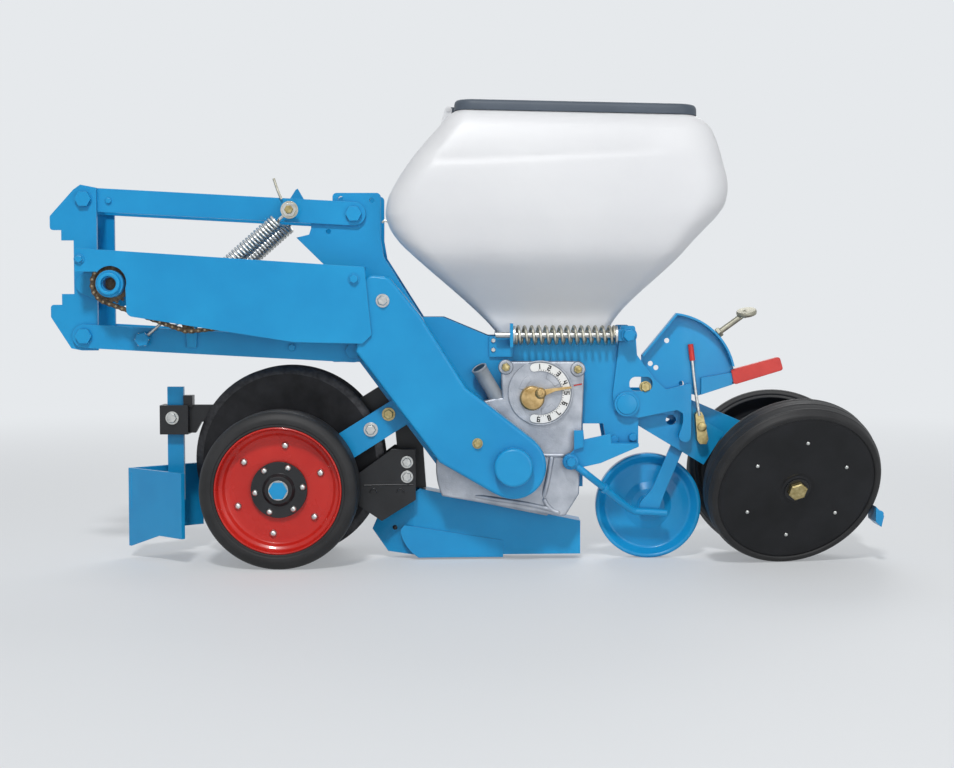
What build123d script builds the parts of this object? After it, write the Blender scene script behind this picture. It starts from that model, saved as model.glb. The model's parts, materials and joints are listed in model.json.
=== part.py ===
"""One row unit of a pneumatic precision planter, standing on its wheels.

Millimetres. X runs rearwards (the unit travels towards -X), Y to the machine's right,
Z up from the ground. The unit hangs on a square toolbar at its front.
"""
import os
from math import cos, radians, sin

from build123d import *

os.makedirs("parts", exist_ok=True)

# Fits
pin_fit = 0.25
running_fit = 0.06
seat_gap = 0.3

# Parallel linkage between the toolbar head and the unit's frame
link_front_x = -746.0
link_rear_x = -222.0
link_upper_z = 712.0
link_drop = 28.0
link_spread = 266.0
arm_height = 46.0
arm_thickness = 8.0
link_pin_r = 10.0
link_head_r = 16.0
link_head_t = 9.0

# Plates across the machine, from the middle outwards
frame_half = 56.0
frame_thickness = 8.0
head_half = 72.0
head_thickness = 8.0

# Toolbar seat on the head
bar_size = 104.0
bar_middle_z = 580.0
seat_x = -766.0
seat_thickness = 12.0
hook_reach = 24.0
hook_tip_x = -812.0
hook_round = 6.0
ubolt_spacing_y = 70.0
ubolt_spacing_z = 124.0
ubolt_hole_r = 9.0

# Chain drive along the linkage
drive_x = -680.0
drive_z = 547.0
drive_bore_r = 12.5
bearing_r = 26.0
bearing_flange_r = 44.0
bearing_foot_r = 20.0
bearing_out_y = -158.0
cover_out_y = -152.0
cover_depth = 40.0
cover_wall = 3.0
cover_cut_r = 31.0
idler_x = -252.0
idler_z = 512.0
tensioner_x = -536.0
tensioner_z = 472.0
chain_y = -132.0
chain_width = 14.0
chain_front_r = 38.0
chain_rear_r = 26.0
chain_idle_r = 16.0
chain_height = 9.0
case_in_y = -104.0
case_out_y = -146.0
case_end = (88.0, 197.0)
case_end_r = 63.0
case_cap_r = 37.0
case_cap_proud = 25.0

# Tension springs that pull the unit towards the ground
spring_y = 94.0
spring_top = (-344.0, 690.0)
spring_foot = (-630.0, 440.0)
spring_r = 14.0
spring_core_r = 11.5
spring_pitch = 9.0
spring_hook = 34.0
spring_bolt_r = 7.0

# Gauge wheels
gauge_x = -362.0
gauge_r = 152.5
gauge_width = 90.0
gauge_y = 125.0
gauge_tyre_t = 30.5
gauge_lip = 5.0
gauge_web_t = 6.0
gauge_web_out = 14.0
gauge_hub_r = 38.0
gauge_flange_r = 54.0
gauge_flange_t = 8.0
gauge_dome_r = 32.0
gauge_axle_r = 12.0

# Gauge wheel arms
gauge_pivot = (-108.0, 313.0)
gauge_arm_t = 10.0
gauge_arm_w = 56.0

# Opener discs
opener_x = -355.0
opener_z = 196.0
opener_r = 190.0
opener_t = 4.0
opener_tilt = 6.0
opener_pinch = 30.0
opener_half_gap = 25.0
opener_hub_r = 42.0
opener_hub_t = 14.0
opener_axle_r = 12.0
carrier_half = 10.0
carrier_top = (-130.0, 336.0)
carrier_width = 64.0

# Row cleaner ahead of the discs
horn_half = 7.0
horn_z = 290.0
horn_height = 34.0
horn_root_z = 251.0
shank_x = -585.0
shank_width = 32.0
shank_half = 7.0
shank_low_z = 96.0
shank_top_z = 343.0
clamp_width = 56.0
clamp_height = 58.0
clamp_half = 26.0
blade_apex_x = -682.0
blade_wing_x = -556.0
blade_half_span = 112.0
blade_low_z = 23.0
blade_high_z = 180.0
blade_t = 6.0
blade_heel = (-608.0, 52.0)

# Frame of the unit
frame_top_z = 725.0
frame_front_x = -264.0
frame_column_x = -170.0
frame_deck_z = 446.0
frame_rear_x = 335.0

# Hopper
hopper_height = 429.0
hopper_wall = 4.0
lid_wall = 3.0
lid_height = 20.5
lid_edge = 3.0
hinge_r = 4.0

# Seed meter
meter_left_x = 60.0
meter_right_x = 226.0
meter_round = (75.0, 190.0)
meter_round_r = 128.0
meter_cover_r = 137.0
meter_cover_top_z = 397.0
meter_cover_t = 34.0
meter_right_cap_r = 80.0
meter_right_cap_t = 16.0
dial_center = (141.0, 336.0)
dial_boss_r = 62.0
dial_boss_t = 4.0
dial_out_r = 58.0
dial_in_r = 44.0
dial_t = 3.0
knob_r = 24.0
knob_t = 14.0
pointer_tip = (200.0, 347.0)
spout_foot = (76.0, 292.0)
spout_mouth = (21.0, 385.0)
spout_r = 15.0
spout_wall = 3.0

# Seed shoe
shoe_half = 28.0
shoe_channel_half = 18.0
shoe_low_z = 8.0
shoe_front_x = -192.0
shoe_rear_x = 224.0
shoe_ridge_front = (-20.0, 126.0)
shoe_ridge_rear_z = 77.0

# Disc guard plates beside the discs
guard_in_y = 50.0

# Rear arm that carries the press wheels
crank_pivot = (311.0, 313.0)
crank_plate_t = 8.0
crank_boss_r = 24.0
crank_boss_t = 8.0
beam_front = (392.0, 312.0)
beam_half = 26.0
beam_height = 52.0
beam_tube_r = 20.0
cheek_in = 40.0
cheek_t = 8.0

# Press wheels in a V
press_x = 629.0
press_y = 110.0
press_r = 175.0
press_width = 65.0
press_camber = 26.0
press_toe = 10.0
press_tyre_t = 18.0
press_hub_r = 34.0
press_hub_in = 26.0
press_web_t = 8.0
press_web_out = 28.0
press_axle_r = 12.0
scraper_gap = 8.0

# Press spring on the rear arm
press_spring_y = 86.0
press_spring_z = 448.0
press_spring_front_x = 92.0
press_spring_rear_x = 287.0
press_spring_r = 19.5
press_spring_core_r = 14.5
press_spring_turns = 13
press_rod_r = 6.0
press_rod_end = (313.0, 448.0)

# Depth setting on the rear arm
sector_rim = 20.0
sector_t = 4.0
crank_rod_r = 6.0
lever_t = 8.0
lever_w = 18.0

# Seed press wheel between the arms
seed_wheel_x = 361.0
seed_wheel_r = 105.0
seed_wheel_width = 26.0
seed_wheel_shell = 5.0
seed_axle_r = 8.0
seed_arm_y = -26.0
seed_arm_t = 8.0
tie_rod_r = 5.5

# Places worked out from the sizes above
upper_front = (link_front_x, link_upper_z)
upper_rear = (link_rear_x, link_upper_z - link_drop)
lower_front = (link_front_x, link_upper_z - link_spread)
lower_rear = (link_rear_x, link_upper_z - link_drop - link_spread)
frame_out = frame_half + frame_thickness
head_out = head_half + head_thickness
upper_arm_in = head_half - arm_thickness
lower_arm_out = head_out + arm_thickness
gauge_hub_z = gauge_r
gauge_seat_r = gauge_r - gauge_tyre_t
press_seat_r = press_r - press_tyre_t
scraper_tip_x = press_x + press_r + scraper_gap
sides = (("left", -1), ("right", 1))


def side(y):
    """Plane that faces the machine's left at y: sketch x is machine X and sketch y is machine Z."""
    return Plane(origin=(0, y, 0), x_dir=(1, 0, 0), z_dir=(0, -1, 0))


def section(center, axle):
    """Half-section plane of a wheel: sketch x runs out from the axle, sketch y along the axle."""
    along = Vector(*axle).normalized()
    out = along.cross(Vector(0, 0, 1)).normalized()
    return Plane(origin=center, x_dir=out, z_dir=out.cross(along))


def save(builder, name):
    """Label one finished sub-part and write it."""
    builder.part.label = name
    export_step(builder.part, f"parts/{name}.step")


# Toolbar head: two hooked side plates
bar_low_z = bar_middle_z - bar_size / 2
bar_high_z = bar_middle_z + bar_size / 2
hook_x = seat_x - hook_reach
plate_rear_x = link_front_x + 25
with BuildPart() as head_plates:
    with BuildSketch(side(-head_half)) as head_outline:
        Polygon(
            (plate_rear_x, link_upper_z + 22),
            (link_front_x - 6, link_upper_z + 28),
            (link_front_x - 20, link_upper_z + 18),
            (hook_tip_x, bar_high_z + 47),
            (hook_tip_x, bar_high_z + 20),
            (hook_x, bar_high_z + 20),
            (hook_x, bar_high_z),
            (seat_x, bar_high_z),
            (seat_x, bar_low_z),
            (hook_x, bar_low_z),
            (hook_x, bar_low_z - 21),
            (hook_tip_x, bar_low_z - 21),
            (hook_tip_x, bar_low_z - 45),
            (lower_front[0] - 27, lower_front[1] - 24),
            (lower_front[0] - 6, lower_front[1] - 28),
            (plate_rear_x, lower_front[1] - 28),
            align=None,
        )
        fillet(head_outline.vertices().group_by(Axis.X)[0], hook_round)
        with Locations(upper_front, lower_front):
            Circle(link_pin_r + pin_fit, mode=Mode.SUBTRACT)
    extrude(amount=head_thickness)
    mirror(about=Plane.XZ)
save(head_plates, "head_plates")

# Seat plate between the head plates, with four holes for the toolbar's U-bolts
with BuildPart() as toolbar_seat:
    with BuildSketch(Plane(origin=(seat_x, 0, bar_middle_z), x_dir=(0, -1, 0), z_dir=(-1, 0, 0))):
        Rectangle(2 * head_half, ubolt_spacing_z + 44)
        with GridLocations(ubolt_spacing_y, ubolt_spacing_z, 2, 2):
            Circle(ubolt_hole_r, mode=Mode.SUBTRACT)
    extrude(amount=-seat_thickness)
save(toolbar_seat, "toolbar_seat")

# Linkage arms: flat bars with round ends, the upper pair inside the head plates
arm_table = (
    # name, front pivot, rear pivot, inner face
    ("upper_arms", upper_front, upper_rear, upper_arm_in),
    ("lower_arms", lower_front, lower_rear, head_out),
)
for arm_name, front, rear, inner in arm_table:
    with BuildPart() as arms:
        with BuildSketch(side(-inner)):
            with Locations(front, rear):
                Circle(arm_height / 2)
            make_hull()
            with Locations(front, rear):
                Circle(link_pin_r + pin_fit, mode=Mode.SUBTRACT)
        extrude(amount=arm_thickness)
        mirror(about=Plane.XZ)
    save(arms, arm_name)

# Linkage pins with round heads on both sides
pin_table = (
    # pivot, outer face that the heads sit on
    (upper_front, head_out),
    (upper_rear, head_half),
    (lower_front, lower_arm_out),
    (lower_rear, lower_arm_out),
)
with BuildPart() as linkage_pins:
    for pivot, outer in pin_table:
        with BuildSketch(side(outer)):
            with Locations(pivot):
                Circle(link_pin_r)
        extrude(amount=2 * outer)
        with BuildSketch(side(-outer)):
            with Locations(pivot):
                RegularPolygon(link_head_r, 6)
        extrude(amount=link_head_t)
        with BuildSketch(side(outer)):
            with Locations(pivot):
                RegularPolygon(link_head_r, 6)
        extrude(amount=-link_head_t)
save(linkage_pins, "linkage_pins")

# Tension springs: close-wound coils with flat eyes on bolts at the arms
spring_run = Vector(spring_foot[0] - spring_top[0], 0, spring_foot[1] - spring_top[1])
spring_dir = spring_run.normalized()
spring_body = spring_run.length - 3 * spring_hook
spring_coils = int(spring_body / spring_pitch)
coil_pitch = spring_body / spring_coils
eye_t = 7.0
with BuildPart() as tension_springs:
    coil_start = Vector(spring_top[0], -spring_y, spring_top[1]) + spring_dir * spring_hook
    with BuildSketch(section(tuple(coil_start), tuple(spring_dir))):
        with BuildLine():
            crests = []
            for coil in range(spring_coils):
                crests.append((spring_core_r, coil * coil_pitch))
                crests.append((spring_r, (coil + 0.5) * coil_pitch))
            crests.append((spring_core_r, spring_body))
            Polyline((0, 0), *crests, (0, spring_body), close=True)
        make_face()
    revolve(axis=Axis(tuple(coil_start), tuple(spring_dir)))
    eye_table = (
        # bolt, coil end along the spring, reach towards the coil
        (spring_top, spring_hook, 1),
        (spring_foot, 2 * spring_hook, -1),
    )
    for bolt, reach, way in eye_table:
        root = (bolt[0] + way * spring_dir.X * reach, bolt[1] + way * spring_dir.Z * reach)
        with BuildSketch(side(-spring_y + eye_t / 2)):
            with BuildLine():
                Line(bolt, root)
            trace(line_width=eye_t)
            with Locations(bolt):
                Circle(spring_bolt_r + eye_t)
                Circle(spring_bolt_r + pin_fit, mode=Mode.SUBTRACT)
        extrude(amount=eye_t)
    mirror(about=Plane.XZ)
save(tension_springs, "tension_springs")

# Bolts that hold the springs' eyes on the arms
bolt_table = (
    # place, arm's outer face
    (spring_top, head_half),
    (spring_foot, lower_arm_out),
)
with BuildPart() as spring_bolts:
    for bolt, face in bolt_table:
        with BuildSketch(side(-face)):
            with Locations(bolt):
                Circle(spring_bolt_r)
        extrude(amount=spring_y + eye_t - face)
        with BuildSketch(side(-spring_y - eye_t)):
            with Locations(bolt):
                RegularPolygon(2 * spring_bolt_r, 6)
        extrude(amount=eye_t)
    mirror(about=Plane.XZ)
save(spring_bolts, "spring_bolts")

# Drive bearing on the head's left plate
with BuildPart() as drive_bearing:
    with BuildSketch(side(-head_out)):
        with Locations((drive_x, drive_z)):
            Circle(bearing_flange_r)
        with Locations((plate_rear_x - bearing_foot_r, drive_z)):
            Circle(bearing_foot_r)
        make_hull()
    extrude(amount=arm_thickness)
    with BuildSketch(side(-head_out - arm_thickness)):
        with Locations((drive_x, drive_z)):
            Circle(bearing_r)
    extrude(amount=-bearing_out_y - head_out - arm_thickness)
    with BuildSketch(side(-head_out)):
        with Locations((drive_x, drive_z)):
            Circle(drive_bore_r)
    extrude(amount=-bearing_out_y - head_out, mode=Mode.SUBTRACT)
save(drive_bearing, "drive_bearing")

# Chain: one closed loop round the driving, tension and idle sprockets
chain_table = (
    # x, z, pitch radius
    (drive_x, drive_z, chain_front_r),
    (tensioner_x, tensioner_z, chain_idle_r),
    (idler_x, idler_z, chain_rear_r),
)
with BuildPart() as drive_chain:
    with BuildSketch(side(chain_y + chain_width / 2)):
        for x, z, radius in chain_table:
            with Locations((x, z)):
                Circle(radius + chain_height / 2)
        make_hull()
        with BuildSketch(mode=Mode.SUBTRACT):
            for x, z, radius in chain_table:
                with Locations((x, z)):
                    Circle(radius - chain_height / 2)
            make_hull()
    extrude(amount=chain_width)
save(drive_chain, "drive_chain")

# Sprockets: the driving one on the bearing, the others on stubs from the arm and the frame
sprocket_half = chain_width / 2 - 3
tensioner_drop = 36.0
with BuildPart() as chain_sprockets:
    for x, z, radius in chain_table:
        with BuildSketch(side(chain_y + sprocket_half)):
            with Locations((x, z)):
                Circle(radius - chain_height / 2)
        extrude(amount=2 * sprocket_half)
    with BuildSketch(side(chain_y + sprocket_half)):
        with Locations((drive_x, drive_z)):
            Circle(bearing_r)
    extrude(amount=2 * sprocket_half, mode=Mode.SUBTRACT)
    stub_table = (
        # x, z, inner face
        (tensioner_x, tensioner_z, -lower_arm_out - arm_thickness),
        (idler_x, idler_z, -frame_out),
    )
    for x, z, face in stub_table:
        with BuildSketch(side(face)):
            with Locations((x, z)):
                Circle(link_pin_r)
        extrude(amount=face - chain_y)
    with BuildSketch(side(-lower_arm_out)):
        with Locations((tensioner_x, tensioner_z), (tensioner_x, tensioner_z - tensioner_drop)):
            Circle(chain_idle_r)
        make_hull()
    extrude(amount=arm_thickness)
save(chain_sprockets, "chain_sprockets")

# Chain cover: a shell open towards the frame, carried on two bosses
cover_boss_r = 9.0
cover_front_boss = (drive_x - 55, drive_z + 56)
cover_rear_boss = (idler_x + 36, idler_z + 44)
cover_corner_r = 12.0
cover_corner = (drive_x + 31, drive_z - 61)
cover_bosses = (
    # place, face that it stands on
    (cover_front_boss, head_out),
    (cover_rear_boss, frame_out),
)
with BuildPart() as chain_cover:
    with BuildSketch(side(cover_out_y + cover_depth)) as cover_outline:
        Polygon(
            (drive_x - 66, drive_z + 68),
            (idler_x + 56, idler_z + 67),
            (idler_x + 69, idler_z - 62),
            (idler_x + 52, idler_z - 79),
            (idler_x - 79, idler_z - 76),
            (idler_x - 144, idler_z - 66),
            cover_corner,
            (drive_x + 29, drive_z),
            (drive_x - 27, drive_z + 23),
            (drive_x - 67, drive_z + 23),
            align=None,
        )
    extrude(amount=cover_depth)
    with BuildSketch(side(cover_out_y + cover_depth)):
        offset(cover_outline.sketch, amount=-cover_wall, kind=Kind.INTERSECTION)
    extrude(amount=cover_depth - cover_wall, mode=Mode.SUBTRACT)
    with BuildSketch(side(cover_out_y + cover_depth)):
        Polygon(
            (idler_x + 28, idler_z - 112),
            (idler_x + 102, idler_z - 112),
            (idler_x + 102, idler_z + 62),
            (idler_x + 28, idler_z + 62),
            align=None,
        )
        Polygon(
            (drive_x - 80, drive_z - 107),
            (tensioner_x + 130, drive_z - 107),
            (tensioner_x + 130, drive_z - 77),
            (tensioner_x - 60, drive_z - 50),
            (drive_x + 40, drive_z + 27),
            (drive_x - 80, drive_z + 27),
            align=None,
        )
    extrude(amount=cover_depth - cover_wall, mode=Mode.SUBTRACT)
    with BuildSketch(side(cover_out_y + cover_depth)):
        with Locations((drive_x, drive_z + cover_wall)):
            Circle(cover_cut_r)
    extrude(amount=cover_depth, mode=Mode.SUBTRACT)
    upright = chain_cover.edges().filter_by(Axis.Y)
    fillet(upright.sort_by_distance((cover_corner[0], cover_out_y, cover_corner[1]))[0], cover_corner_r)
    for boss, face in cover_bosses:
        with BuildSketch(side(-face)):
            with Locations(boss):
                Circle(cover_boss_r)
        extrude(amount=-cover_out_y - cover_wall - face)
save(chain_cover, "chain_cover")

# Sloping drive case down to the seed meter, with a round cap over its last shaft
case_round = 6.0
case_top_bolt = (-162.0, 515.0)
with BuildPart() as drive_case:
    with BuildSketch(side(case_in_y)) as case_outline:
        Polygon(
            (-200, 566),
            (-150, 560),
            (-90, 486),
            (-3, 348),
            (130, 245),
            case_end,
            (54, 143),
            (-54, 205),
            (-213, 416),
            align=None,
        )
        with Locations(case_end):
            Circle(case_end_r)
        fillet(case_outline.vertices().sort_by(Axis.Y)[-2:], 22)
    extrude(amount=case_in_y - case_out_y)
    fillet(drive_case.faces().sort_by(Axis.Y)[0].edges(), case_round)
    with BuildSketch(side(case_out_y)):
        with Locations(case_end):
            Circle(case_cap_r)
    extrude(amount=case_cap_proud)
    fillet(drive_case.faces().sort_by(Axis.Y)[0].edges(), case_round)
    with BuildSketch(side(-frame_out)):
        with Locations(case_top_bolt):
            Circle(18)
    extrude(amount=-case_in_y - frame_out)
    with BuildSketch(side(-frame_out - meter_cover_t)):
        with Locations(case_end):
            Circle(case_cap_r)
    extrude(amount=-case_in_y - frame_out - meter_cover_t)
save(drive_case, "drive_case")

# Frame: two side plates from the linkage column to the rear pivot
gauge_pin_r = 14.0
frame_low_z = 150.0
frame_round = 8.0
gusset_nose = (frame_front_x - 71, 638.0)
gusset_foot_z = 568.0
frame_hole_r = 5.0
frame_holes = ((-272.0, 650.0), (-248.0, 714.0), (-187.0, 710.0))
for side_name, way in sides:
    with BuildPart() as frame_plate:
        with BuildSketch(side(-frame_half)) as frame_outline:
            Polygon(
                (frame_front_x, frame_top_z),
                (frame_column_x, frame_top_z),
                (frame_column_x, frame_top_z - 90),
                (frame_column_x + 6, frame_top_z - 125),
                (-90, 483),
                (-49, 483),
                (40, frame_deck_z),
                (crank_pivot[0] - 12, frame_deck_z),
                (crank_pivot[0] - 12, crank_pivot[1] + 30),
                (frame_rear_x, crank_pivot[1] + 24),
                (frame_rear_x, crank_pivot[1] - 79),
                (frame_rear_x - 46, crank_pivot[1] - 85),
                (frame_rear_x - 63, crank_pivot[1] - 73),
                (frame_rear_x - 69, crank_pivot[1] - 39),
                (meter_right_x, crank_pivot[1] - 39),
                (meter_right_x, frame_low_z),
                (-30, frame_low_z),
                (-64, 196),
                (-212, 395),
                (frame_front_x, 395),
                (frame_front_x, gusset_foot_z),
                (gusset_nose[0] + 49, gusset_nose[1] - 48),
                gusset_nose,
                (gusset_nose[0] + 25, gusset_nose[1] + 6),
                (gusset_nose[0] + 29, gusset_nose[1] + 18),
                (gusset_nose[0] + 29, gusset_nose[1] + 38),
                (frame_front_x, gusset_nose[1] + 38),
                align=None,
            )
            fillet(frame_outline.vertices().group_by(Axis.Y)[-1], frame_round)
            with Locations(*frame_holes):
                Circle(frame_hole_r, mode=Mode.SUBTRACT)
            with Locations(upper_rear, lower_rear):
                Circle(link_pin_r + pin_fit, mode=Mode.SUBTRACT)
            with Locations(gauge_pivot):
                Circle(gauge_pin_r + pin_fit, mode=Mode.SUBTRACT)
            with Locations(crank_pivot):
                Circle(gauge_pin_r + pin_fit, mode=Mode.SUBTRACT)
        extrude(amount=frame_thickness)
        with BuildSketch(side(-frame_out)):
            with Locations(lower_rear):
                Circle(2 * link_pin_r)
                Circle(link_pin_r + pin_fit, mode=Mode.SUBTRACT)
        extrude(amount=head_out - frame_out)
        if way > 0:
            mirror(about=Plane.XZ, mode=Mode.REPLACE)
    save(frame_plate, f"frame_plate_{side_name}")

# Cross members between the frame plates
cross_table = (
    # x, z, radius
    (-214.0, 560.0, 18.0),
    (carrier_top[0], carrier_top[1], 18.0),
    (264.0, 300.0, 14.0),
)
with BuildPart() as frame_cross:
    for x, z, radius in cross_table:
        with BuildSketch(side(frame_half)):
            with Locations((x, z)):
                Circle(radius)
        extrude(amount=2 * frame_half)
save(frame_cross, "frame_cross")

# Hopper: a hollow tub with rounded corners, open at its rim and at its neck, its rim falling rearwards
hopper_table = (
    # share of the height, front x, rear x, half width, corner radius, fall of the rear edge
    (0.0, 62, 272, 48, 16, 0),
    (0.075, 33, 290, 50, 20, 0),
    (0.371, -109, 412, 150, 40, 0),
    (0.424, -133, 431, 158, 44, 2),
    (0.487, -151, 456, 163, 48, 4),
    (0.545, -158, 479, 166, 50, 5),
    (0.604, -154, 495, 167, 50, 6),
    (0.674, -140, 500, 166, 50, 7),
    (0.802, -103, 489, 158, 48, 8),
    (0.932, -55, 471, 141, 42, 9),
    (0.979, -37, 455, 130, 36, 10),
    (1.0, -23, 438, 122, 32, 10),
)


def hopper_plane(share, front, rear, fall):
    """Plane of one hopper section, tilted so that its rear edge lies lower by fall."""
    return Plane(
        origin=((front + rear) / 2, 0, frame_deck_z + share * hopper_height),
        x_dir=(rear - front, 0, -fall),
        z_dir=(fall, 0, rear - front),
    )


share, rim_front, rim_rear, rim_half, rim_corner, rim_fall = hopper_table[-1]
rim_plane = hopper_plane(share, rim_front, rim_rear, rim_fall)
hinge_x = rim_front - 15
hinge_z = frame_deck_z + hopper_height + rim_fall / 2 + 7
knuckle_r = 7.0
knuckle_bite = 2.0
ear_in = 41.0
ear_t = 8.0
ear_drop = 25.0
with BuildPart() as hopper:
    for share, front, rear, half, corner, fall in hopper_table:
        with BuildSketch(hopper_plane(share, front, rear, fall)):
            RectangleRounded(rear - front, 2 * half, corner)
    loft(ruled=True)
    for ear_y in (-ear_in, ear_in + ear_t):
        with BuildSketch(side(ear_y)):
            with Locations((hinge_x, hinge_z), (hinge_x - knuckle_r, hinge_z - ear_drop)):
                Circle(knuckle_r)
            make_hull()
        extrude(amount=ear_t)
    for share, front, rear, half, corner, fall in hopper_table:
        with BuildSketch(hopper_plane(share, front, rear, fall)):
            RectangleRounded(rear - front - 2 * hopper_wall, 2 * (half - hopper_wall), corner - hopper_wall)
    loft(ruled=True, mode=Mode.SUBTRACT)
    with BuildSketch(side(ear_in + ear_t)):
        with Locations((hinge_x, hinge_z)):
            Circle(hinge_r)
    extrude(amount=2 * (ear_in + ear_t))
save(hopper, "hopper")

# Lid: a shallow cap on the rim, hinged on the hopper's front ears
lid_length = rim_rear - rim_front + 2 * lid_edge
lid_round = 6.0
lid_front_x = rim_front - lid_edge
with BuildPart() as hopper_lid:
    with BuildSketch(rim_plane.offset(seat_gap)):
        RectangleRounded(lid_length, 2 * (rim_half + lid_edge), rim_corner)
    extrude(amount=lid_height)
    fillet(hopper_lid.faces().sort_by(Axis.Z)[-1].edges(), lid_round)
    with BuildSketch(rim_plane.offset(seat_gap)):
        RectangleRounded(
            lid_length - 2 * (lid_edge + hopper_wall), 2 * (rim_half - hopper_wall), rim_corner - hopper_wall
        )
    extrude(amount=lid_height - lid_wall - hopper_wall, mode=Mode.SUBTRACT)
    with BuildSketch(side(ear_in - seat_gap)):
        with Locations((hinge_x, hinge_z), (lid_front_x, hinge_z)):
            Circle(knuckle_r - seat_gap)
        make_hull()
        with Locations((hinge_x, hinge_z)):
            Circle(hinge_r + running_fit, mode=Mode.SUBTRACT)
        with Locations((lid_front_x + knuckle_bite, hinge_z)):
            Rectangle(2 * knuckle_r, 2 * knuckle_r, align=(Align.MIN, Align.CENTER), mode=Mode.SUBTRACT)
    extrude(amount=2 * (ear_in - seat_gap))
save(hopper_lid, "hopper_lid")

# Seed meter body between the frame plates, seated on the shoe's sloping ridge
ridge_slope = (shoe_ridge_front[1] - shoe_ridge_rear_z) / (shoe_rear_x - shoe_ridge_front[0])
ridge_rise = ridge_slope * (shoe_ridge_front[0] - meter_round[0] + meter_round_r)
with BuildPart() as meter_body:
    with BuildSketch(side(frame_half)):
        with Locations(meter_round):
            Circle(meter_round_r)
        Polygon(
            (meter_left_x, frame_deck_z),
            (meter_right_x, frame_deck_z),
            (meter_right_x - 12, meter_round[1]),
            (meter_left_x, meter_round[1]),
            align=None,
        )
        Polygon(
            (meter_round[0] - meter_round_r, shoe_ridge_front[1] + ridge_rise),
            (shoe_rear_x, shoe_ridge_rear_z),
            (shoe_rear_x, 0),
            (meter_round[0] - meter_round_r, 0),
            align=None,
            mode=Mode.SUBTRACT,
        )
    extrude(amount=2 * frame_half)
save(meter_body, "meter_body")

# Round door of the meter on the outside of the right plate
with BuildPart() as meter_door:
    with BuildSketch(side(frame_out + meter_right_cap_t)):
        with Locations(meter_round):
            Circle(meter_right_cap_r)
    extrude(amount=meter_right_cap_t)
    fillet(meter_door.faces().sort_by(Axis.Y)[-1].edges(), 5)
    with BuildSketch(side(frame_out + meter_right_cap_t + 12)):
        with Locations(meter_round):
            Circle(knob_r)
    extrude(amount=12)
save(meter_door, "meter_door")

# Cast cover of the meter on the outside of the left plate, with the dial's round boss and a sloping sole
cover_sole = ((meter_round[0] - meter_cover_r, 136.0), (meter_right_x + 14, 85.0))
with BuildPart() as meter_cover:
    with BuildSketch(side(-frame_out)) as cover_face:
        with Locations(meter_round):
            Circle(meter_cover_r)
        Polygon(
            (meter_left_x + 4, meter_cover_top_z),
            (meter_right_x + 2, meter_cover_top_z),
            (217, 138),
            (191, 96),
            (meter_round[0], 80),
            align=None,
        )
        Polygon(*cover_sole, (cover_sole[1][0], 0), (cover_sole[0][0], 0), align=None, mode=Mode.SUBTRACT)
        fillet(cover_face.vertices().sort_by(Axis.Y)[-2:], 12)
    extrude(amount=meter_cover_t - dial_boss_t)
    fillet(meter_cover.faces().sort_by(Axis.Y)[0].edges(), 4)
    with BuildSketch(side(-frame_out - meter_cover_t + dial_boss_t)):
        with Locations(dial_center):
            Circle(dial_boss_r)
    extrude(amount=dial_boss_t)
save(meter_cover, "meter_cover")

# White dial on the boss: the rear half of a ring
dial_y = -frame_out - meter_cover_t
with BuildPart() as meter_dial:
    with BuildSketch(side(dial_y)):
        with Locations(dial_center):
            Circle(dial_out_r)
            Circle(dial_in_r, mode=Mode.SUBTRACT)
        with Locations((dial_center[0] - dial_out_r, dial_center[1])):
            Rectangle(2 * dial_out_r, 2 * dial_out_r + 2, mode=Mode.SUBTRACT)
    extrude(amount=dial_t)
save(meter_dial, "meter_dial")

# Brass selector: round knob with a pointer over the dial
with BuildPart() as selector_knob:
    with BuildSketch(side(dial_y)):
        with Locations((dial_center[0] - 16, dial_center[1] - 10)):
            Circle(knob_r)
    extrude(amount=knob_t)
    with BuildSketch(side(dial_y - dial_t)):
        with Locations(dial_center):
            Circle(9)
        with Locations(pointer_tip):
            Circle(2)
        make_hull()
    extrude(amount=dial_t)
    with BuildSketch(side(dial_y)):
        with Locations(dial_center):
            Circle(9)
    extrude(amount=dial_t)
save(selector_knob, "selector_knob")

# Vacuum spout: a short tube standing on the cover and leaning forwards
spout_run = Vector(spout_mouth[0] - spout_foot[0], 0, spout_mouth[1] - spout_foot[1])
spout_y = -frame_out - meter_cover_t / 2
with BuildPart() as vacuum_spout:
    mouth_plane = Plane(
        origin=(spout_mouth[0], spout_y, spout_mouth[1]),
        x_dir=(0, 1, 0),
        z_dir=tuple(spout_run.normalized()),
    )
    with BuildSketch(mouth_plane):
        Circle(spout_r)
    extrude(amount=-spout_run.length)
    with BuildSketch(mouth_plane):
        Circle(spout_r - spout_wall)
    extrude(amount=-spout_run.length + 3 * spout_r, mode=Mode.SUBTRACT)
    add(meter_cover.part, mode=Mode.SUBTRACT)
save(vacuum_spout, "vacuum_spout")

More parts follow.
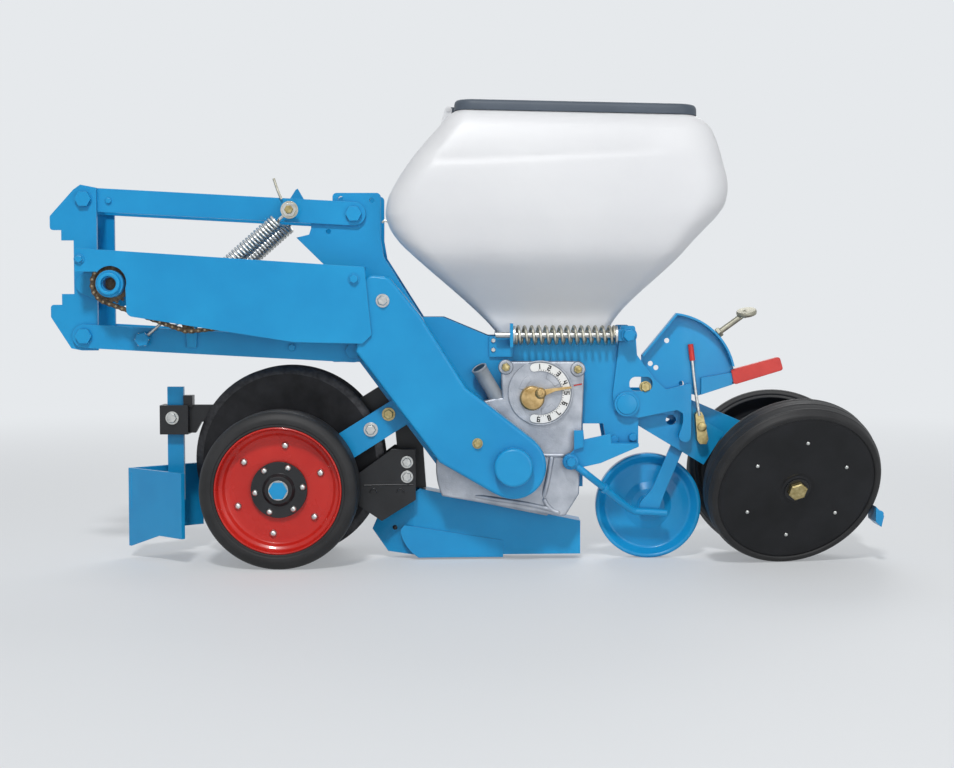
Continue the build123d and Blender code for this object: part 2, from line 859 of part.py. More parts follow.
# Seed shoe: a keel with a sharp nose and a seed channel open downwards and rearwards
nose_half = 4.0
nose_length = 84.0
channel_front_x = 24.0
channel_roof_z = 46.0
with BuildPart() as seed_shoe:
    with BuildSketch(side(shoe_half)):
        Polygon(
            (shoe_front_x, shoe_low_z + 50),
            (shoe_front_x + 14, shoe_low_z + 82),
            (shoe_front_x + 96, shoe_low_z + 133),
            shoe_ridge_front,
            (shoe_rear_x, shoe_ridge_rear_z),
            (shoe_rear_x, shoe_low_z + 3),
            (shoe_front_x + 92, shoe_low_z),
            (shoe_front_x + 32, shoe_low_z + 6),
            align=None,
        )
    extrude(amount=2 * shoe_half)
    with BuildSketch():
        Polygon(
            (shoe_front_x, -nose_half),
            (shoe_front_x + nose_length, -shoe_half),
            (shoe_rear_x, -shoe_half),
            (shoe_rear_x, shoe_half),
            (shoe_front_x + nose_length, shoe_half),
            (shoe_front_x, nose_half),
            align=None,
        )
    extrude(amount=2 * frame_low_z, mode=Mode.INTERSECT)
    with BuildSketch(side(shoe_channel_half)):
        Polygon(
            (channel_front_x, 0),
            (channel_front_x, channel_roof_z),
            (shoe_rear_x, channel_roof_z),
            (shoe_rear_x, 0),
            align=None,
        )
    extrude(amount=2 * shoe_channel_half, mode=Mode.SUBTRACT)
save(seed_shoe, "seed_shoe")

# Guard plates: dark sheets on both sides of the shank, behind the discs' lower rear edge
guard_t = frame_half - guard_in_y
guard_bolt = (-121.0, 181.0)
with BuildPart() as disc_guards:
    with BuildSketch(side(-guard_in_y)):
        Polygon(
            (guard_bolt[0] + 18, guard_bolt[1] + 41),
            (guard_bolt[0] - 29, guard_bolt[1] + 41),
            (guard_bolt[0] - 94, guard_bolt[1] - 6),
            (guard_bolt[0] - 94, guard_bolt[1] - 71),
            (guard_bolt[0] - 49, guard_bolt[1] - 101),
            (guard_bolt[0] + 18, guard_bolt[1] - 59),
            align=None,
        )
    extrude(amount=guard_t)
    mirror(about=Plane.XZ)
save(disc_guards, "disc_guards")

# Disc carrier: a flat shank between the discs with tilted stub axles and a horn for the row cleaner
pinch = Vector(-cos(radians(opener_pinch)), 0, -sin(radians(opener_pinch)))
opener_axles = {}
for side_name, way in sides:
    tilt = radians(opener_tilt)
    opener_axles[side_name] = (
        (opener_x, way * opener_half_gap, opener_z),
        (pinch.X * sin(tilt), way * cos(tilt), pinch.Z * sin(tilt)),
    )
opener_hub_out = opener_t / 2 + opener_hub_t
horn_front_x = shank_x + clamp_width / 2
with BuildPart() as disc_carrier:
    with BuildSketch(side(carrier_half)):
        with Locations((opener_x, opener_z), carrier_top):
            Circle(carrier_width / 2)
        make_hull()
        with Locations(carrier_top):
            Circle(cross_table[1][2] + pin_fit, mode=Mode.SUBTRACT)
    extrude(amount=2 * carrier_half)
    with BuildSketch(side(horn_half)):
        Polygon(
            (horn_front_x, horn_z + horn_height / 2),
            (opener_x + 110, horn_z + horn_height / 2),
            (opener_x + 70, opener_z + 50),
            (opener_x - 40, horn_z - horn_height / 2),
            (opener_x - opener_r + 12, horn_z - horn_height / 2),
            (opener_x - opener_r, horn_root_z),
            (horn_front_x, horn_root_z),
            align=None,
        )
    extrude(amount=2 * horn_half)
    with BuildSketch(side(carrier_half)):
        Polygon((-152, 325), (-98, 330), (-84, 141), (-134, 141), align=None)
        with Locations(carrier_top):
            Circle(carrier_width / 2, mode=Mode.SUBTRACT)
    extrude(amount=2 * carrier_half)
    with BuildSketch(side(guard_in_y)):
        with Locations(guard_bolt):
            Circle(gauge_pin_r)
    extrude(amount=2 * guard_in_y)
    for center, axle in opener_axles.values():
        stub = Plane(origin=center, z_dir=axle)
        with BuildSketch(stub.offset(-opener_half_gap)):
            Circle(opener_axle_r + 8)
        extrude(amount=opener_half_gap - opener_t / 2 - seat_gap)
        with BuildSketch(stub.offset(-opener_half_gap)):
            Circle(opener_axle_r)
        extrude(amount=opener_half_gap + opener_hub_out + 2 * seat_gap)
        with BuildSketch(stub.offset(opener_hub_out + seat_gap)):
            RegularPolygon(opener_axle_r + 7, 6)
        extrude(amount=9)
save(disc_carrier, "disc_carrier")

# Opener discs: bevelled plates on flat hubs
for side_name, (center, axle) in opener_axles.items():
    bore = opener_axle_r + running_fit
    with BuildPart() as opener_disc:
        with BuildSketch(section(center, axle)):
            Polygon(
                (bore, -opener_t / 2),
                (opener_r, -opener_t / 2),
                (opener_r - 16, opener_t / 2),
                (opener_hub_r + 6, opener_t / 2),
                (opener_hub_r, opener_hub_out),
                (bore, opener_hub_out),
                align=None,
            )
        revolve(axis=Axis(center, axle))
    save(opener_disc, f"opener_disc_{side_name}")

# Gauge wheels, their arms and spindles
gauge_hub_in = -30.0
gauge_dome_out = gauge_web_out + 16
gauge_half = gauge_width / 2
for side_name, way in sides:
    center = (gauge_x, way * gauge_y, gauge_hub_z)
    axle = (0, way, 0)
    profile = section(center, axle)
    bore = gauge_axle_r + running_fit
    with BuildPart() as gauge_arm:
        with BuildSketch(side(-frame_out)):
            with Locations((gauge_x, gauge_hub_z), gauge_pivot):
                Circle(gauge_arm_w / 2)
            make_hull()
        extrude(amount=gauge_arm_t)
        with BuildSketch(side(-frame_half)):
            with Locations(gauge_pivot):
                Circle(gauge_pin_r)
        extrude(amount=frame_thickness + gauge_arm_t + 8)
        with BuildSketch(side(-frame_out)):
            with Locations((gauge_x, gauge_hub_z)):
                Circle(gauge_axle_r + 8)
        extrude(amount=gauge_y + gauge_hub_in - frame_out - seat_gap)
        with BuildSketch(side(-frame_out)):
            with Locations((gauge_x, gauge_hub_z)):
                Circle(gauge_axle_r)
        extrude(amount=gauge_y + gauge_dome_out - frame_out + 2 * seat_gap)
        with BuildSketch(side(-gauge_y - gauge_dome_out - seat_gap)):
            with Locations((gauge_x, gauge_hub_z)):
                RegularPolygon(gauge_axle_r + 6, 6)
        extrude(amount=10)
        if way > 0:
            mirror(about=Plane.XZ, mode=Mode.REPLACE)
    save(gauge_arm, f"gauge_arm_{side_name}")

    with BuildPart() as gauge_tyre:
        with BuildSketch(profile):
            Polygon(
                (gauge_seat_r, -gauge_half),
                (gauge_r - 16, -gauge_half),
                (gauge_r - 5, -gauge_half + 7),
                (gauge_r, -gauge_half + 22),
                (gauge_r, gauge_half - 22),
                (gauge_r - 5, gauge_half - 7),
                (gauge_r - 16, gauge_half),
                (gauge_seat_r, gauge_half),
                align=None,
            )
        revolve(axis=Axis(center, axle))
    save(gauge_tyre, f"gauge_tyre_{side_name}")

    with BuildPart() as gauge_rim:
        with BuildSketch(profile):
            Polygon(
                (gauge_seat_r, -gauge_half + 2),
                (gauge_seat_r, gauge_half - 2),
                (gauge_seat_r - gauge_lip, gauge_half - 2),
                (gauge_seat_r - 11, gauge_web_out + 9),
                (gauge_seat_r - 24, gauge_web_out),
                (gauge_hub_r + pin_fit, gauge_web_out),
                (gauge_hub_r + pin_fit, gauge_web_out - gauge_web_t),
                (gauge_seat_r - 22, gauge_web_out - gauge_web_t),
                (gauge_seat_r - gauge_lip, gauge_web_out + 4),
                (gauge_seat_r - gauge_lip, -gauge_half + 2),
                align=None,
            )
        revolve(axis=Axis(center, axle))
    save(gauge_rim, f"gauge_rim_{side_name}")

    with BuildPart() as gauge_hub:
        with BuildSketch(profile):
            Polygon(
                (bore, gauge_hub_in),
                (gauge_hub_r, gauge_hub_in),
                (gauge_hub_r, gauge_web_out),
                (gauge_flange_r, gauge_web_out),
                (gauge_flange_r, gauge_web_out + gauge_flange_t),
                (gauge_dome_r, gauge_web_out + gauge_flange_t),
                (gauge_dome_r - 6, gauge_dome_out),
                (bore, gauge_dome_out),
                align=None,
            )
        revolve(axis=Axis(center, axle))
    save(gauge_hub, f"gauge_hub_{side_name}")

# Row cleaner: clamp on the carrier's horn, upright shank and a V blade
clamp_z = 278.0
bracket_high_z = 172.0
with BuildPart() as cleaner_clamp:
    with BuildSketch(Plane.XY.offset(clamp_z - clamp_height / 2)):
        with Locations((shank_x, 0)):
            Rectangle(clamp_width, 2 * clamp_half)
            Rectangle(shank_width + 2 * pin_fit, 2 * (shank_half + pin_fit), mode=Mode.SUBTRACT)
    extrude(amount=clamp_height)
save(cleaner_clamp, "cleaner_clamp")

with BuildPart() as cleaner_shank:
    with BuildSketch(Plane.XY.offset(bracket_high_z)):
        with Locations((shank_x, 0)):
            Rectangle(shank_width, 2 * shank_half)
    extrude(amount=shank_top_z - bracket_high_z)
save(cleaner_shank, "cleaner_shank")

with BuildPart() as cleaner_blade:
    with BuildSketch(Plane.XY.offset(blade_low_z)):
        Polygon(
            (blade_apex_x, 0),
            (blade_wing_x, -blade_half_span),
            (blade_wing_x + blade_t, -blade_half_span + blade_t),
            (blade_apex_x + 1.5 * blade_t, 0),
            (blade_wing_x + blade_t, blade_half_span - blade_t),
            (blade_wing_x, blade_half_span),
            align=None,
        )
    extrude(amount=blade_high_z - blade_low_z)
    with BuildSketch(side(blade_half_span)):
        Polygon(
            (blade_apex_x + blade_t, blade_low_z),
            blade_heel,
            (blade_wing_x + 2 * blade_t, blade_heel[1]),
            (blade_wing_x + 2 * blade_t, blade_low_z),
            align=None,
        )
    extrude(amount=2 * blade_half_span, mode=Mode.SUBTRACT)
    with BuildSketch(side(shank_half)):
        Polygon(
            (blade_apex_x + blade_t, shank_low_z),
            (shank_x + shank_width / 2, shank_low_z + 20),
            (shank_x + shank_width / 2, bracket_high_z),
            (blade_apex_x + blade_t, bracket_high_z),
            align=None,
        )
    extrude(amount=2 * shank_half)
save(cleaner_blade, "cleaner_blade")

# Rear arm plates: bell cranks outside the frame plates, each with its pivot boss and a tongue downwards
tongue_end = (426.0, 250.0)
tongue_r = 12.0
with BuildPart() as rear_arm_plates:
    with BuildSketch(side(-frame_out)) as crank_outline:
        Polygon(
            (crank_pivot[0] - 27, crank_pivot[1] + 21),
            (crank_pivot[0] - 19, crank_pivot[1] + 86),
            (press_rod_end[0] - 14, press_rod_end[1] + 18),
            (press_rod_end[0] + 14, press_rod_end[1] + 18),
            (press_rod_end[0] + 18, press_rod_end[1] - 39),
            (crank_pivot[0] + 55, crank_pivot[1] + 48),
            (crank_pivot[0] + 77, crank_pivot[1] + 28),
            (tongue_end[0] + tongue_r, crank_pivot[1] + 41),
            (tongue_end[0] + tongue_r, tongue_end[1]),
            (tongue_end[0] - tongue_r, tongue_end[1]),
            (tongue_end[0] - 4, tongue_end[1] + 26),
            (tongue_end[0] - 4, tongue_end[1] + 44),
            (tongue_end[0] - 16, tongue_end[1] + 51),
            (crank_pivot[0] + 25, crank_pivot[1] - 27),
            (crank_pivot[0], crank_pivot[1] - 25),
            (crank_pivot[0] - 24, crank_pivot[1] - 13),
            align=None,
        )
        fillet(crank_outline.vertices(), 5)
        with Locations(tongue_end):
            Circle(tongue_r)
        with Locations((crank_pivot[0] + 28, crank_pivot[1] + 39)):
            RectangleRounded(45, 28, 12, mode=Mode.SUBTRACT)
        with Locations(press_rod_end):
            Circle(press_rod_r + pin_fit, mode=Mode.SUBTRACT)
    extrude(amount=crank_plate_t)
    with BuildSketch(side(-frame_out - crank_plate_t)):
        with Locations(crank_pivot):
            Circle(crank_boss_r)
    extrude(amount=crank_boss_t)
    with BuildSketch(side(-frame_half)):
        with Locations(crank_pivot):
            Circle(gauge_pin_r)
    extrude(amount=frame_thickness)
    mirror(about=Plane.XZ)
save(rear_arm_plates, "rear_arm_plates")

# Press wheels: tops lean outwards, fronts stand further apart
press_half = press_width / 2
press_tread = (
    # radius, distance along the axle
    (press_seat_r, -press_half),
    (press_r - 15, -press_half),
    (press_r - 5, -press_half + 6),
    (press_r, -press_half + 18),
    (press_r, press_half - 18),
    (press_r - 5, press_half - 6),
    (press_r - 15, press_half),
    (press_seat_r, press_half),
)
camber = radians(press_camber)
toe = radians(press_toe)
press_z = max(radius * cos(camber) + along * sin(camber) for radius, along in press_tread)
press_axles = {}
for side_name, way in sides:
    press_axles[side_name] = (
        (press_x, way * press_y, press_z),
        (sin(toe) * cos(camber), way * cos(toe) * cos(camber), -sin(camber)),
    )
axle_reach = press_y / (cos(toe) * cos(camber))
axle_root = (press_x - axle_reach * sin(toe) * cos(camber), press_z + axle_reach * sin(camber))

# Beam from the rear arm plates to the press wheels' stub axles, with a cheek plate on each side
with BuildPart() as press_beam:
    with BuildSketch(side(beam_half)):
        with Locations(beam_front, axle_root):
            Circle(beam_height / 2)
        make_hull()
    extrude(amount=2 * beam_half)
    with BuildSketch(side(frame_out)):
        with Locations(beam_front):
            Circle(beam_tube_r)
    extrude(amount=2 * frame_out)
    for cheek_y in (-cheek_in, cheek_in + cheek_t):
        with BuildSketch(side(cheek_y)):
            Polygon(
                (beam_front[0] - 70, beam_front[1] - 12),
                (beam_front[0] - 70, beam_front[1] - 34),
                (beam_front[0] - 53, beam_front[1] - 45),
                (beam_front[0] + 74, beam_front[1] - 121),
                (beam_front[0] + 114, beam_front[1] - 57),
                (beam_front[0] + 78, beam_front[1] - 36),
                (beam_front[0] + 33, beam_front[1] + 18),
                (beam_front[0], beam_front[1] + 26),
                align=None,
            )
            with Locations((beam_front[0] + 9, beam_front[1] - 32)):
                Circle(beam_tube_r / 2, mode=Mode.SUBTRACT)
            with Locations(tongue_end):
                Circle(link_pin_r + pin_fit, mode=Mode.SUBTRACT)
        extrude(amount=cheek_t)
    for center, axle in press_axles.values():
        stub = Plane(origin=center, z_dir=axle)
        with BuildSketch(stub.offset(-axle_reach)):
            Circle(press_axle_r + 6)
        extrude(amount=axle_reach - press_hub_in - seat_gap)
        with BuildSketch(stub.offset(-axle_reach)):
            Circle(press_axle_r)
        extrude(amount=axle_reach + press_web_out + 2 * seat_gap)
        with BuildSketch(stub.offset(press_web_out + seat_gap)):
            RegularPolygon(press_axle_r + 4, 6)
        extrude(amount=10)
save(press_beam, "press_beam")

for side_name, (center, axle) in press_axles.items():
    profile = section(center, axle)
    bore = press_axle_r + running_fit
    with BuildPart() as press_tyre:
        with BuildSketch(profile):
            Polygon(*press_tread, align=None)
        revolve(axis=Axis(center, axle))
    save(press_tyre, f"press_tyre_{side_name}")

    with BuildPart() as press_rim:
        with BuildSketch(profile):
            Polygon(
                (bore, -press_hub_in),
                (press_hub_r, -press_hub_in),
                (press_hub_r, press_web_out - press_web_t),
                (press_seat_r - 8, press_web_out - press_web_t),
                (press_seat_r - 8, -press_half + 2),
                (press_seat_r, -press_half + 2),
                (press_seat_r, press_half - 2),
                (press_seat_r - 8, press_half - 2),
                (press_seat_r - 12, press_web_out),
                (bore, press_web_out),
                align=None,
            )
        revolve(axis=Axis(center, axle))
    save(press_rim, f"press_rim_{side_name}")

# Scrapers behind the press wheels, on one bar from the beam
scraper_bar_half = 6.0
blade_span = (34.0, 98.0)
with BuildPart() as scrapers:
    with BuildSketch(side(scraper_bar_half)):
        Polygon(
            (axle_root[0], axle_root[1] + 13),
            (740, axle_root[1] + 13),
            (scraper_tip_x, 112),
            (scraper_tip_x - 6, 92),
            (scraper_tip_x - 16, 100),
            (728, axle_root[1] - 13),
            (axle_root[0], axle_root[1] - 13),
            align=None,
        )
    extrude(amount=2 * scraper_bar_half)
    with BuildSketch(side(blade_span[1])):
        with Locations((scraper_tip_x - 7, 100)):
            Circle(6)
    extrude(amount=2 * blade_span[1])
    for start in (blade_span[1], -blade_span[0]):
        with BuildSketch(side(start)):
            Polygon(
                (scraper_tip_x - 16, 114),
                (scraper_tip_x, 96),
                (scraper_tip_x - 5, 74),
                (scraper_tip_x - 16, 84),
                align=None,
            )
        extrude(amount=blade_span[1] - blade_span[0])
    add(press_beam.part, mode=Mode.SUBTRACT)
save(scrapers, "scrapers")

# Press springs: open coils on rods between the frame's brackets and the bell cranks
washer_t = 4.0
eye_in_y = frame_out + crank_plate_t
spring_length = press_spring_rear_x - press_spring_front_x
turn = spring_length / press_spring_turns
rod_guide_r = press_rod_r + 2
with BuildPart() as press_springs:
    with BuildSketch(Plane(origin=(press_spring_front_x, -press_spring_y, press_spring_z))):
        with BuildLine():
            turns = []
            for count in range(press_spring_turns):
                turns.append((count * turn, press_spring_core_r))
                turns.append((count * turn + turn * 0.3, press_spring_r))
                turns.append((count * turn + turn * 0.7, press_spring_r))
            turns.append((spring_length, press_spring_core_r))
            Polyline((0, rod_guide_r), *turns, (spring_length, rod_guide_r), close=True)
        make_face()
    revolve(axis=Axis((press_spring_front_x, -press_spring_y, press_spring_z), (1, 0, 0)))
    mirror(about=Plane.XZ)
save(press_springs, "press_springs")

bracket_x = press_spring_front_x - washer_t
rod_start_x = bracket_x - 34
with BuildPart() as press_spring_rods:
    with BuildSketch(Plane(origin=(rod_start_x, -press_spring_y, press_spring_z), z_dir=(1, 0, 0))):
        Circle(press_rod_r)
    extrude(amount=press_rod_end[0] - rod_start_x)
    for washer_x in (bracket_x, press_spring_rear_x):
        with BuildSketch(Plane(origin=(washer_x, -press_spring_y, press_spring_z), z_dir=(1, 0, 0))):
            Circle(press_spring_r - 1)
        extrude(amount=washer_t)
    with BuildSketch(side(-eye_in_y)):
        with Locations(press_rod_end):
            Circle(2 * press_rod_r)
    extrude(amount=2 * (press_spring_y - eye_in_y))
    with BuildSketch(side(-frame_out)):
        with Locations(press_rod_end):
            Circle(press_rod_r)
    extrude(amount=crank_plate_t)
    mirror(about=Plane.XZ)
save(press_spring_rods, "press_spring_rods")

with BuildPart() as spring_brackets:
    with BuildSketch(side(-frame_out)):
        Polygon(
            (bracket_x - 46, 405), (bracket_x, 405), (bracket_x, frame_deck_z - 2),
            (bracket_x - 46, frame_deck_z - 2), align=None,
        )
    extrude(amount=6)
    spring_seat = Plane(origin=(bracket_x, -press_spring_y, press_spring_z), x_dir=(0, 1, 0), z_dir=(1, 0, 0))
    with BuildSketch(spring_seat):
        Rectangle(2 * (press_spring_y - frame_out), 46)
        Circle(press_rod_r + pin_fit, mode=Mode.SUBTRACT)
    extrude(amount=-6)
    mirror(about=Plane.XZ)
save(spring_brackets, "spring_brackets")

# Depth sector: a quadrant plate behind the left bell crank, its front edge and arc turned outwards as a rim
sector_center = (391.0, 360.0)
sector_r = 132.0
sector_foot = (340.0, 409.0)
sector_top = (409.0, 494.0)
sector_rear_x = 545.0
sector_holes = ((390.0, 437.0), (358.0, 392.0), (369.0, 384.0), (419.0, 353.0))
sector_hole_r = 5.0
rim_end_z = 384.0
rim_run = (Vector(*sector_top) - Vector(*sector_foot)).normalized()
rim_step = Vector(rim_run.Y, -rim_run.X) * sector_t
rim_foot = (sector_foot[0] + rim_step.X, sector_foot[1] + rim_step.Y)
rim_top = (sector_top[0] + rim_step.X, sector_top[1] + rim_step.Y)
with BuildPart() as depth_sector:
    with BuildSketch(side(-frame_out + sector_t)):
        Polygon(
            sector_foot,
            sector_top,
            (sector_rear_x, sector_top[1]),
            (sector_rear_x, 360),
            (516, 350),
            (452, 329),
            (416, 336),
            (372, 336),
            (sector_foot[0], 334),
            align=None,
        )
        with Locations(sector_center):
            Circle(sector_r, mode=Mode.INTERSECT)
        with Locations(*sector_holes):
            Circle(sector_hole_r, mode=Mode.SUBTRACT)
    extrude(amount=sector_t)
    with BuildSketch(side(-frame_out)):
        Polygon(
            sector_foot,
            sector_top,
            (sector_rear_x, sector_top[1]),
            (sector_rear_x, rim_end_z),
            rim_foot,
            align=None,
        )
        with Locations(sector_center):
            Circle(sector_r, mode=Mode.INTERSECT)
        with BuildSketch(mode=Mode.SUBTRACT):
            Polygon(
                rim_foot,
                rim_top,
                (sector_rear_x, rim_top[1]),
                (sector_rear_x, rim_end_z - sector_t),
                (sector_foot[0], rim_end_z - sector_t),
                align=None,
            )
            with Locations(sector_center):
                Circle(sector_r - sector_t, mode=Mode.INTERSECT)
    extrude(amount=sector_rim)
save(depth_sector, "depth_sector")

# Depth crank: a rod out of the sector's rim with a flat round knob
crank_y = -frame_out - sector_rim / 2
crank_root = (485.4, 449.4)
crank_tip = (544.0, 492.0)
crank_run = Vector(crank_tip[0] - crank_root[0], 0, crank_tip[1] - crank_root[1])
crank_knob_r = 19.0
crank_knob_t = 8.0
crank_knob_axis = (-0.16, -0.30, 0.94)
with BuildPart() as depth_crank:
    with BuildSketch(Plane(origin=(crank_root[0], crank_y, crank_root[1]), z_dir=crank_run)):
        Circle(crank_rod_r)
    extrude(amount=crank_run.length)
    with BuildSketch(Plane(origin=(crank_tip[0], crank_y, crank_tip[1]), z_dir=crank_knob_axis)):
        Circle(crank_knob_r)
    extrude(amount=crank_knob_t / 2, both=True)
    add(depth_sector.part, mode=Mode.SUBTRACT)
save(depth_crank, "depth_crank")

# Depth lever on the sector's outer face, and its flat red grip
lever_front_x = tongue_end[0] + tongue_r + 19
lever_outline = ((lever_front_x, 331.0), (518.0, 351.0), (513.0, 374.0), (lever_front_x, 364.0))
tang_start = (500.0, 360.0)
tang_end = (592.0, 387.0)
grip_outline = ((514.6, 380.0), (609.2, 405.6), (616.6, 380.0), (520.7, 350.7))
grip_round = 5.0
grip_wrap = 4.0
with BuildPart() as depth_lever:
    with BuildSketch(side(-frame_out)):
        Polygon(*lever_outline, align=None)
        with BuildLine():
            Line(tang_start, tang_end)
        trace(line_width=lever_w)
    extrude(amount=lever_t)
save(depth_lever, "depth_lever")

with BuildPart() as lever_grip:
    with BuildSketch(side(-frame_out + grip_wrap)) as grip_plan:
        Polygon(*grip_outline, align=None)
        fillet(grip_plan.vertices(), grip_round)
    extrude(amount=lever_t + 2 * grip_wrap)
    add(depth_lever.part, mode=Mode.SUBTRACT)
    add(depth_sector.part, mode=Mode.SUBTRACT)
save(lever_grip, "lever_grip")

# Latch lever on the beam's left cheek: a block with an upright rod
latch_top = (453.0, 286.0)
latch_foot = (461.0, 240.0)
latch_tip = (435.0, 427.0)
latch_r = 10.0
latch_rod = 6.0
latch_reach = 28.0
with BuildPart() as latch_lever:
    with BuildSketch(side(-cheek_in - cheek_t)):
        with Locations(latch_top, latch_foot):
            Circle(latch_r)
        make_hull()
    extrude(amount=latch_reach)
    with BuildSketch(side(-cheek_in - cheek_t - latch_reach + 8)):
        with BuildLine():
            Polyline(latch_top, (latch_top[0] - 4, latch_top[1] + 25), latch_tip)
        trace(line_width=latch_rod)
    extrude(amount=latch_rod)
save(latch_lever, "latch_lever")

# Seed press wheel: a dished steel wheel that rolls in the furrow
seed_center = (seed_wheel_x, 0, seed_wheel_r)
seed_half = seed_wheel_width / 2
with BuildPart() as seed_press_wheel:
    with BuildSketch(section(seed_center, (0, -1, 0))):
        bore = seed_axle_r + running_fit
        Polygon(
            (bore, -seed_half),
            (22, -seed_half),
            (26, -seed_half + 4),
            (seed_wheel_r - 18, -seed_half),
            (seed_wheel_r, -seed_half),
            (seed_wheel_r, seed_half),
            (seed_wheel_r - seed_wheel_shell, seed_half),
            (seed_wheel_r - 18, -seed_half + 2 * seed_wheel_shell),
            (26, 2),
            (22, seed_half),
            (bore, seed_half),
            align=None,
        )
    revolve(axis=Axis(seed_center, (0, -1, 0)))
save(seed_press_wheel, "seed_press_wheel")

# Arm of the seed press wheel: a cranked flat bar with its axle and a boss to the left bell crank
seed_arm_table = (
    # x, z, radius of the rounded corner
    (seed_wheel_x, seed_wheel_r, 20.0),
    (seed_wheel_x + 16, seed_wheel_r + 28, 13.0),
    (tongue_end[0], tongue_end[1], 13.0),
)
with BuildPart() as seed_wheel_arm:
    for near, far in zip(seed_arm_table, seed_arm_table[1:]):
        with BuildSketch(side(seed_arm_y)):
            for x, z, radius in (near, far):
                with Locations((x, z)):
                    Circle(radius)
            make_hull()
        extrude(amount=seed_arm_t)
    with BuildSketch(side(seed_arm_y - seed_arm_t)):
        with Locations(tongue_end):
            Circle(link_pin_r)
    extrude(amount=frame_out + seed_arm_y - seed_arm_t)
    with BuildSketch(side(seed_arm_y)):
        with Locations((seed_wheel_x, seed_wheel_r)):
            Circle(seed_axle_r)
    extrude(amount=-(seed_half - seed_arm_y + 2 * seat_gap))
    with BuildSketch(side(seed_arm_y)):
        with Locations((seed_wheel_x, seed_wheel_r)):
            Circle(seed_axle_r + 6)
    extrude(amount=seed_arm_y + seed_half + seat_gap)
    with BuildSketch(side(seed_half + seat_gap)):
        with Locations((seed_wheel_x, seed_wheel_r)):
            RegularPolygon(seed_axle_r + 5, 6)
    extrude(amount=-8)
    add(press_beam.part, mode=Mode.SUBTRACT)
save(seed_wheel_arm, "seed_wheel_arm")

# Bracket at the frame's rear corner and the bent tie rod to the seed wheel's arm
tie_plate_y = -frame_out - meter_cover_t - 2
tie_plate_t = 6.0
tie_eye = (200.0, 203.0)
tie_eye_r = 16.0
tie_shelf_z = 232.0
tie_shelf_x = frame_rear_x - 3
with BuildPart() as tie_bracket:
    with BuildSketch(side(tie_plate_y)):
        Polygon(
            (tie_eye[0] + 6, tie_eye[1] + 61),
            (tie_eye[0] + 24, tie_eye[1] + 61),
            (tie_eye[0] + 26, tie_eye[1] + 43),
            (tie_eye[0] + 77, tie_eye[1] + 54),
            (tie_eye[0] + 79, tie_shelf_z + tie_plate_t),
            (tie_shelf_x, tie_shelf_z + tie_plate_t),
            (tie_shelf_x, tie_shelf_z),
            (tie_eye[0] + 58, tie_eye[1] - 3),
            (tie_eye[0], tie_eye[1] - tie_eye_r),
            (tie_eye[0] - tie_eye_r, tie_eye[1]),
            (tie_eye[0] + 6, tie_eye[1] + 23),
            align=None,
        )
        with Locations(tie_eye):
            Circle(tie_eye_r)
    extrude(amount=tie_plate_t)
    with BuildSketch(side(-frame_out)):
        Polygon(
            (tie_eye[0] + 79, tie_shelf_z + tie_plate_t),
            (tie_shelf_x, tie_shelf_z + tie_plate_t),
            (tie_shelf_x, tie_shelf_z),
            (tie_eye[0] + 79, tie_shelf_z),
            align=None,
        )
    extrude(amount=-tie_plate_y - frame_out)
save(tie_bracket, "tie_bracket")

tie_rod_y = seed_arm_y - seed_arm_t - tie_rod_r
tie_route = (
    # x, y, z
    (tie_eye[0], tie_plate_y - tie_plate_t - tie_rod_r, tie_eye[1]),
    (tie_eye[0] + 32, tie_plate_y - tie_plate_t - tie_rod_r, tie_eye[1] - 25),
    (tie_eye[0] + 68, tie_plate_y + 22, tie_eye[1] - 55),
    (seed_wheel_x - 28, tie_rod_y, seed_wheel_r - 7),
    (seed_wheel_x + 34, tie_rod_y, seed_wheel_r - 11),
)
with BuildPart() as tie_rod:
    with BuildLine() as rod_line:
        FilletPolyline(*tie_route, radius=16)
    with BuildSketch(Plane(origin=rod_line.line @ 0, z_dir=rod_line.line % 0)):
        Circle(tie_rod_r)
    sweep()
save(tie_rod, "tie_rod")
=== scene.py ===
"""Dress a planter row unit: paint, plastics, castings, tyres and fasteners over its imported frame."""
import json
from math import cos, pi, radians, sin

import bmesh
import bpy
import numpy as np
from bpy.props import FloatProperty, FloatVectorProperty, IntProperty, PointerProperty
from bpy.types import Operator, Panel, PropertyGroup
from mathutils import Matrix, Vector


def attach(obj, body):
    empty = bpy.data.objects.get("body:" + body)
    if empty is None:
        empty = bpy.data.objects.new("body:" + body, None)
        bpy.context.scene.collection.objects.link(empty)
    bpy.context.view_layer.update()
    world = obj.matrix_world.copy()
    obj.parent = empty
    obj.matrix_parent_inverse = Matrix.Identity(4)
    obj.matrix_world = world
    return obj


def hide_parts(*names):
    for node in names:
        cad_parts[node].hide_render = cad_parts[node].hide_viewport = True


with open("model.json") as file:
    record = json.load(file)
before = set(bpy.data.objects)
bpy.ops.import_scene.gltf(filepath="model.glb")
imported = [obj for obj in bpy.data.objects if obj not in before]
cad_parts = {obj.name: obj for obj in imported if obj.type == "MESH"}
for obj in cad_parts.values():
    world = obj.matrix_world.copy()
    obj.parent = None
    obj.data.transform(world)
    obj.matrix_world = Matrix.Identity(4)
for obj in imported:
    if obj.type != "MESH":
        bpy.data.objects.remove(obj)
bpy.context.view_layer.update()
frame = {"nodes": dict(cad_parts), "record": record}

bl_info = {
    "name": "Planter row unit",
    "version": (1, 0, 0),
    "blender": (4, 5, 0),
    "location": "3D View > Sidebar > Planter",
    "description": "Finishes and fittings of a planter row unit",
    "category": "Object",
}

MM = 0.001
UP = np.array((0.0, 0.0, 1.0))
# Axis of what stands on the left side, which the photo shows
LEFT = (0, -1, 0)
SIDES = (("left", -1), ("right", 1))
# Finishes by name, filled by the finishes operator
FINISHES = {}


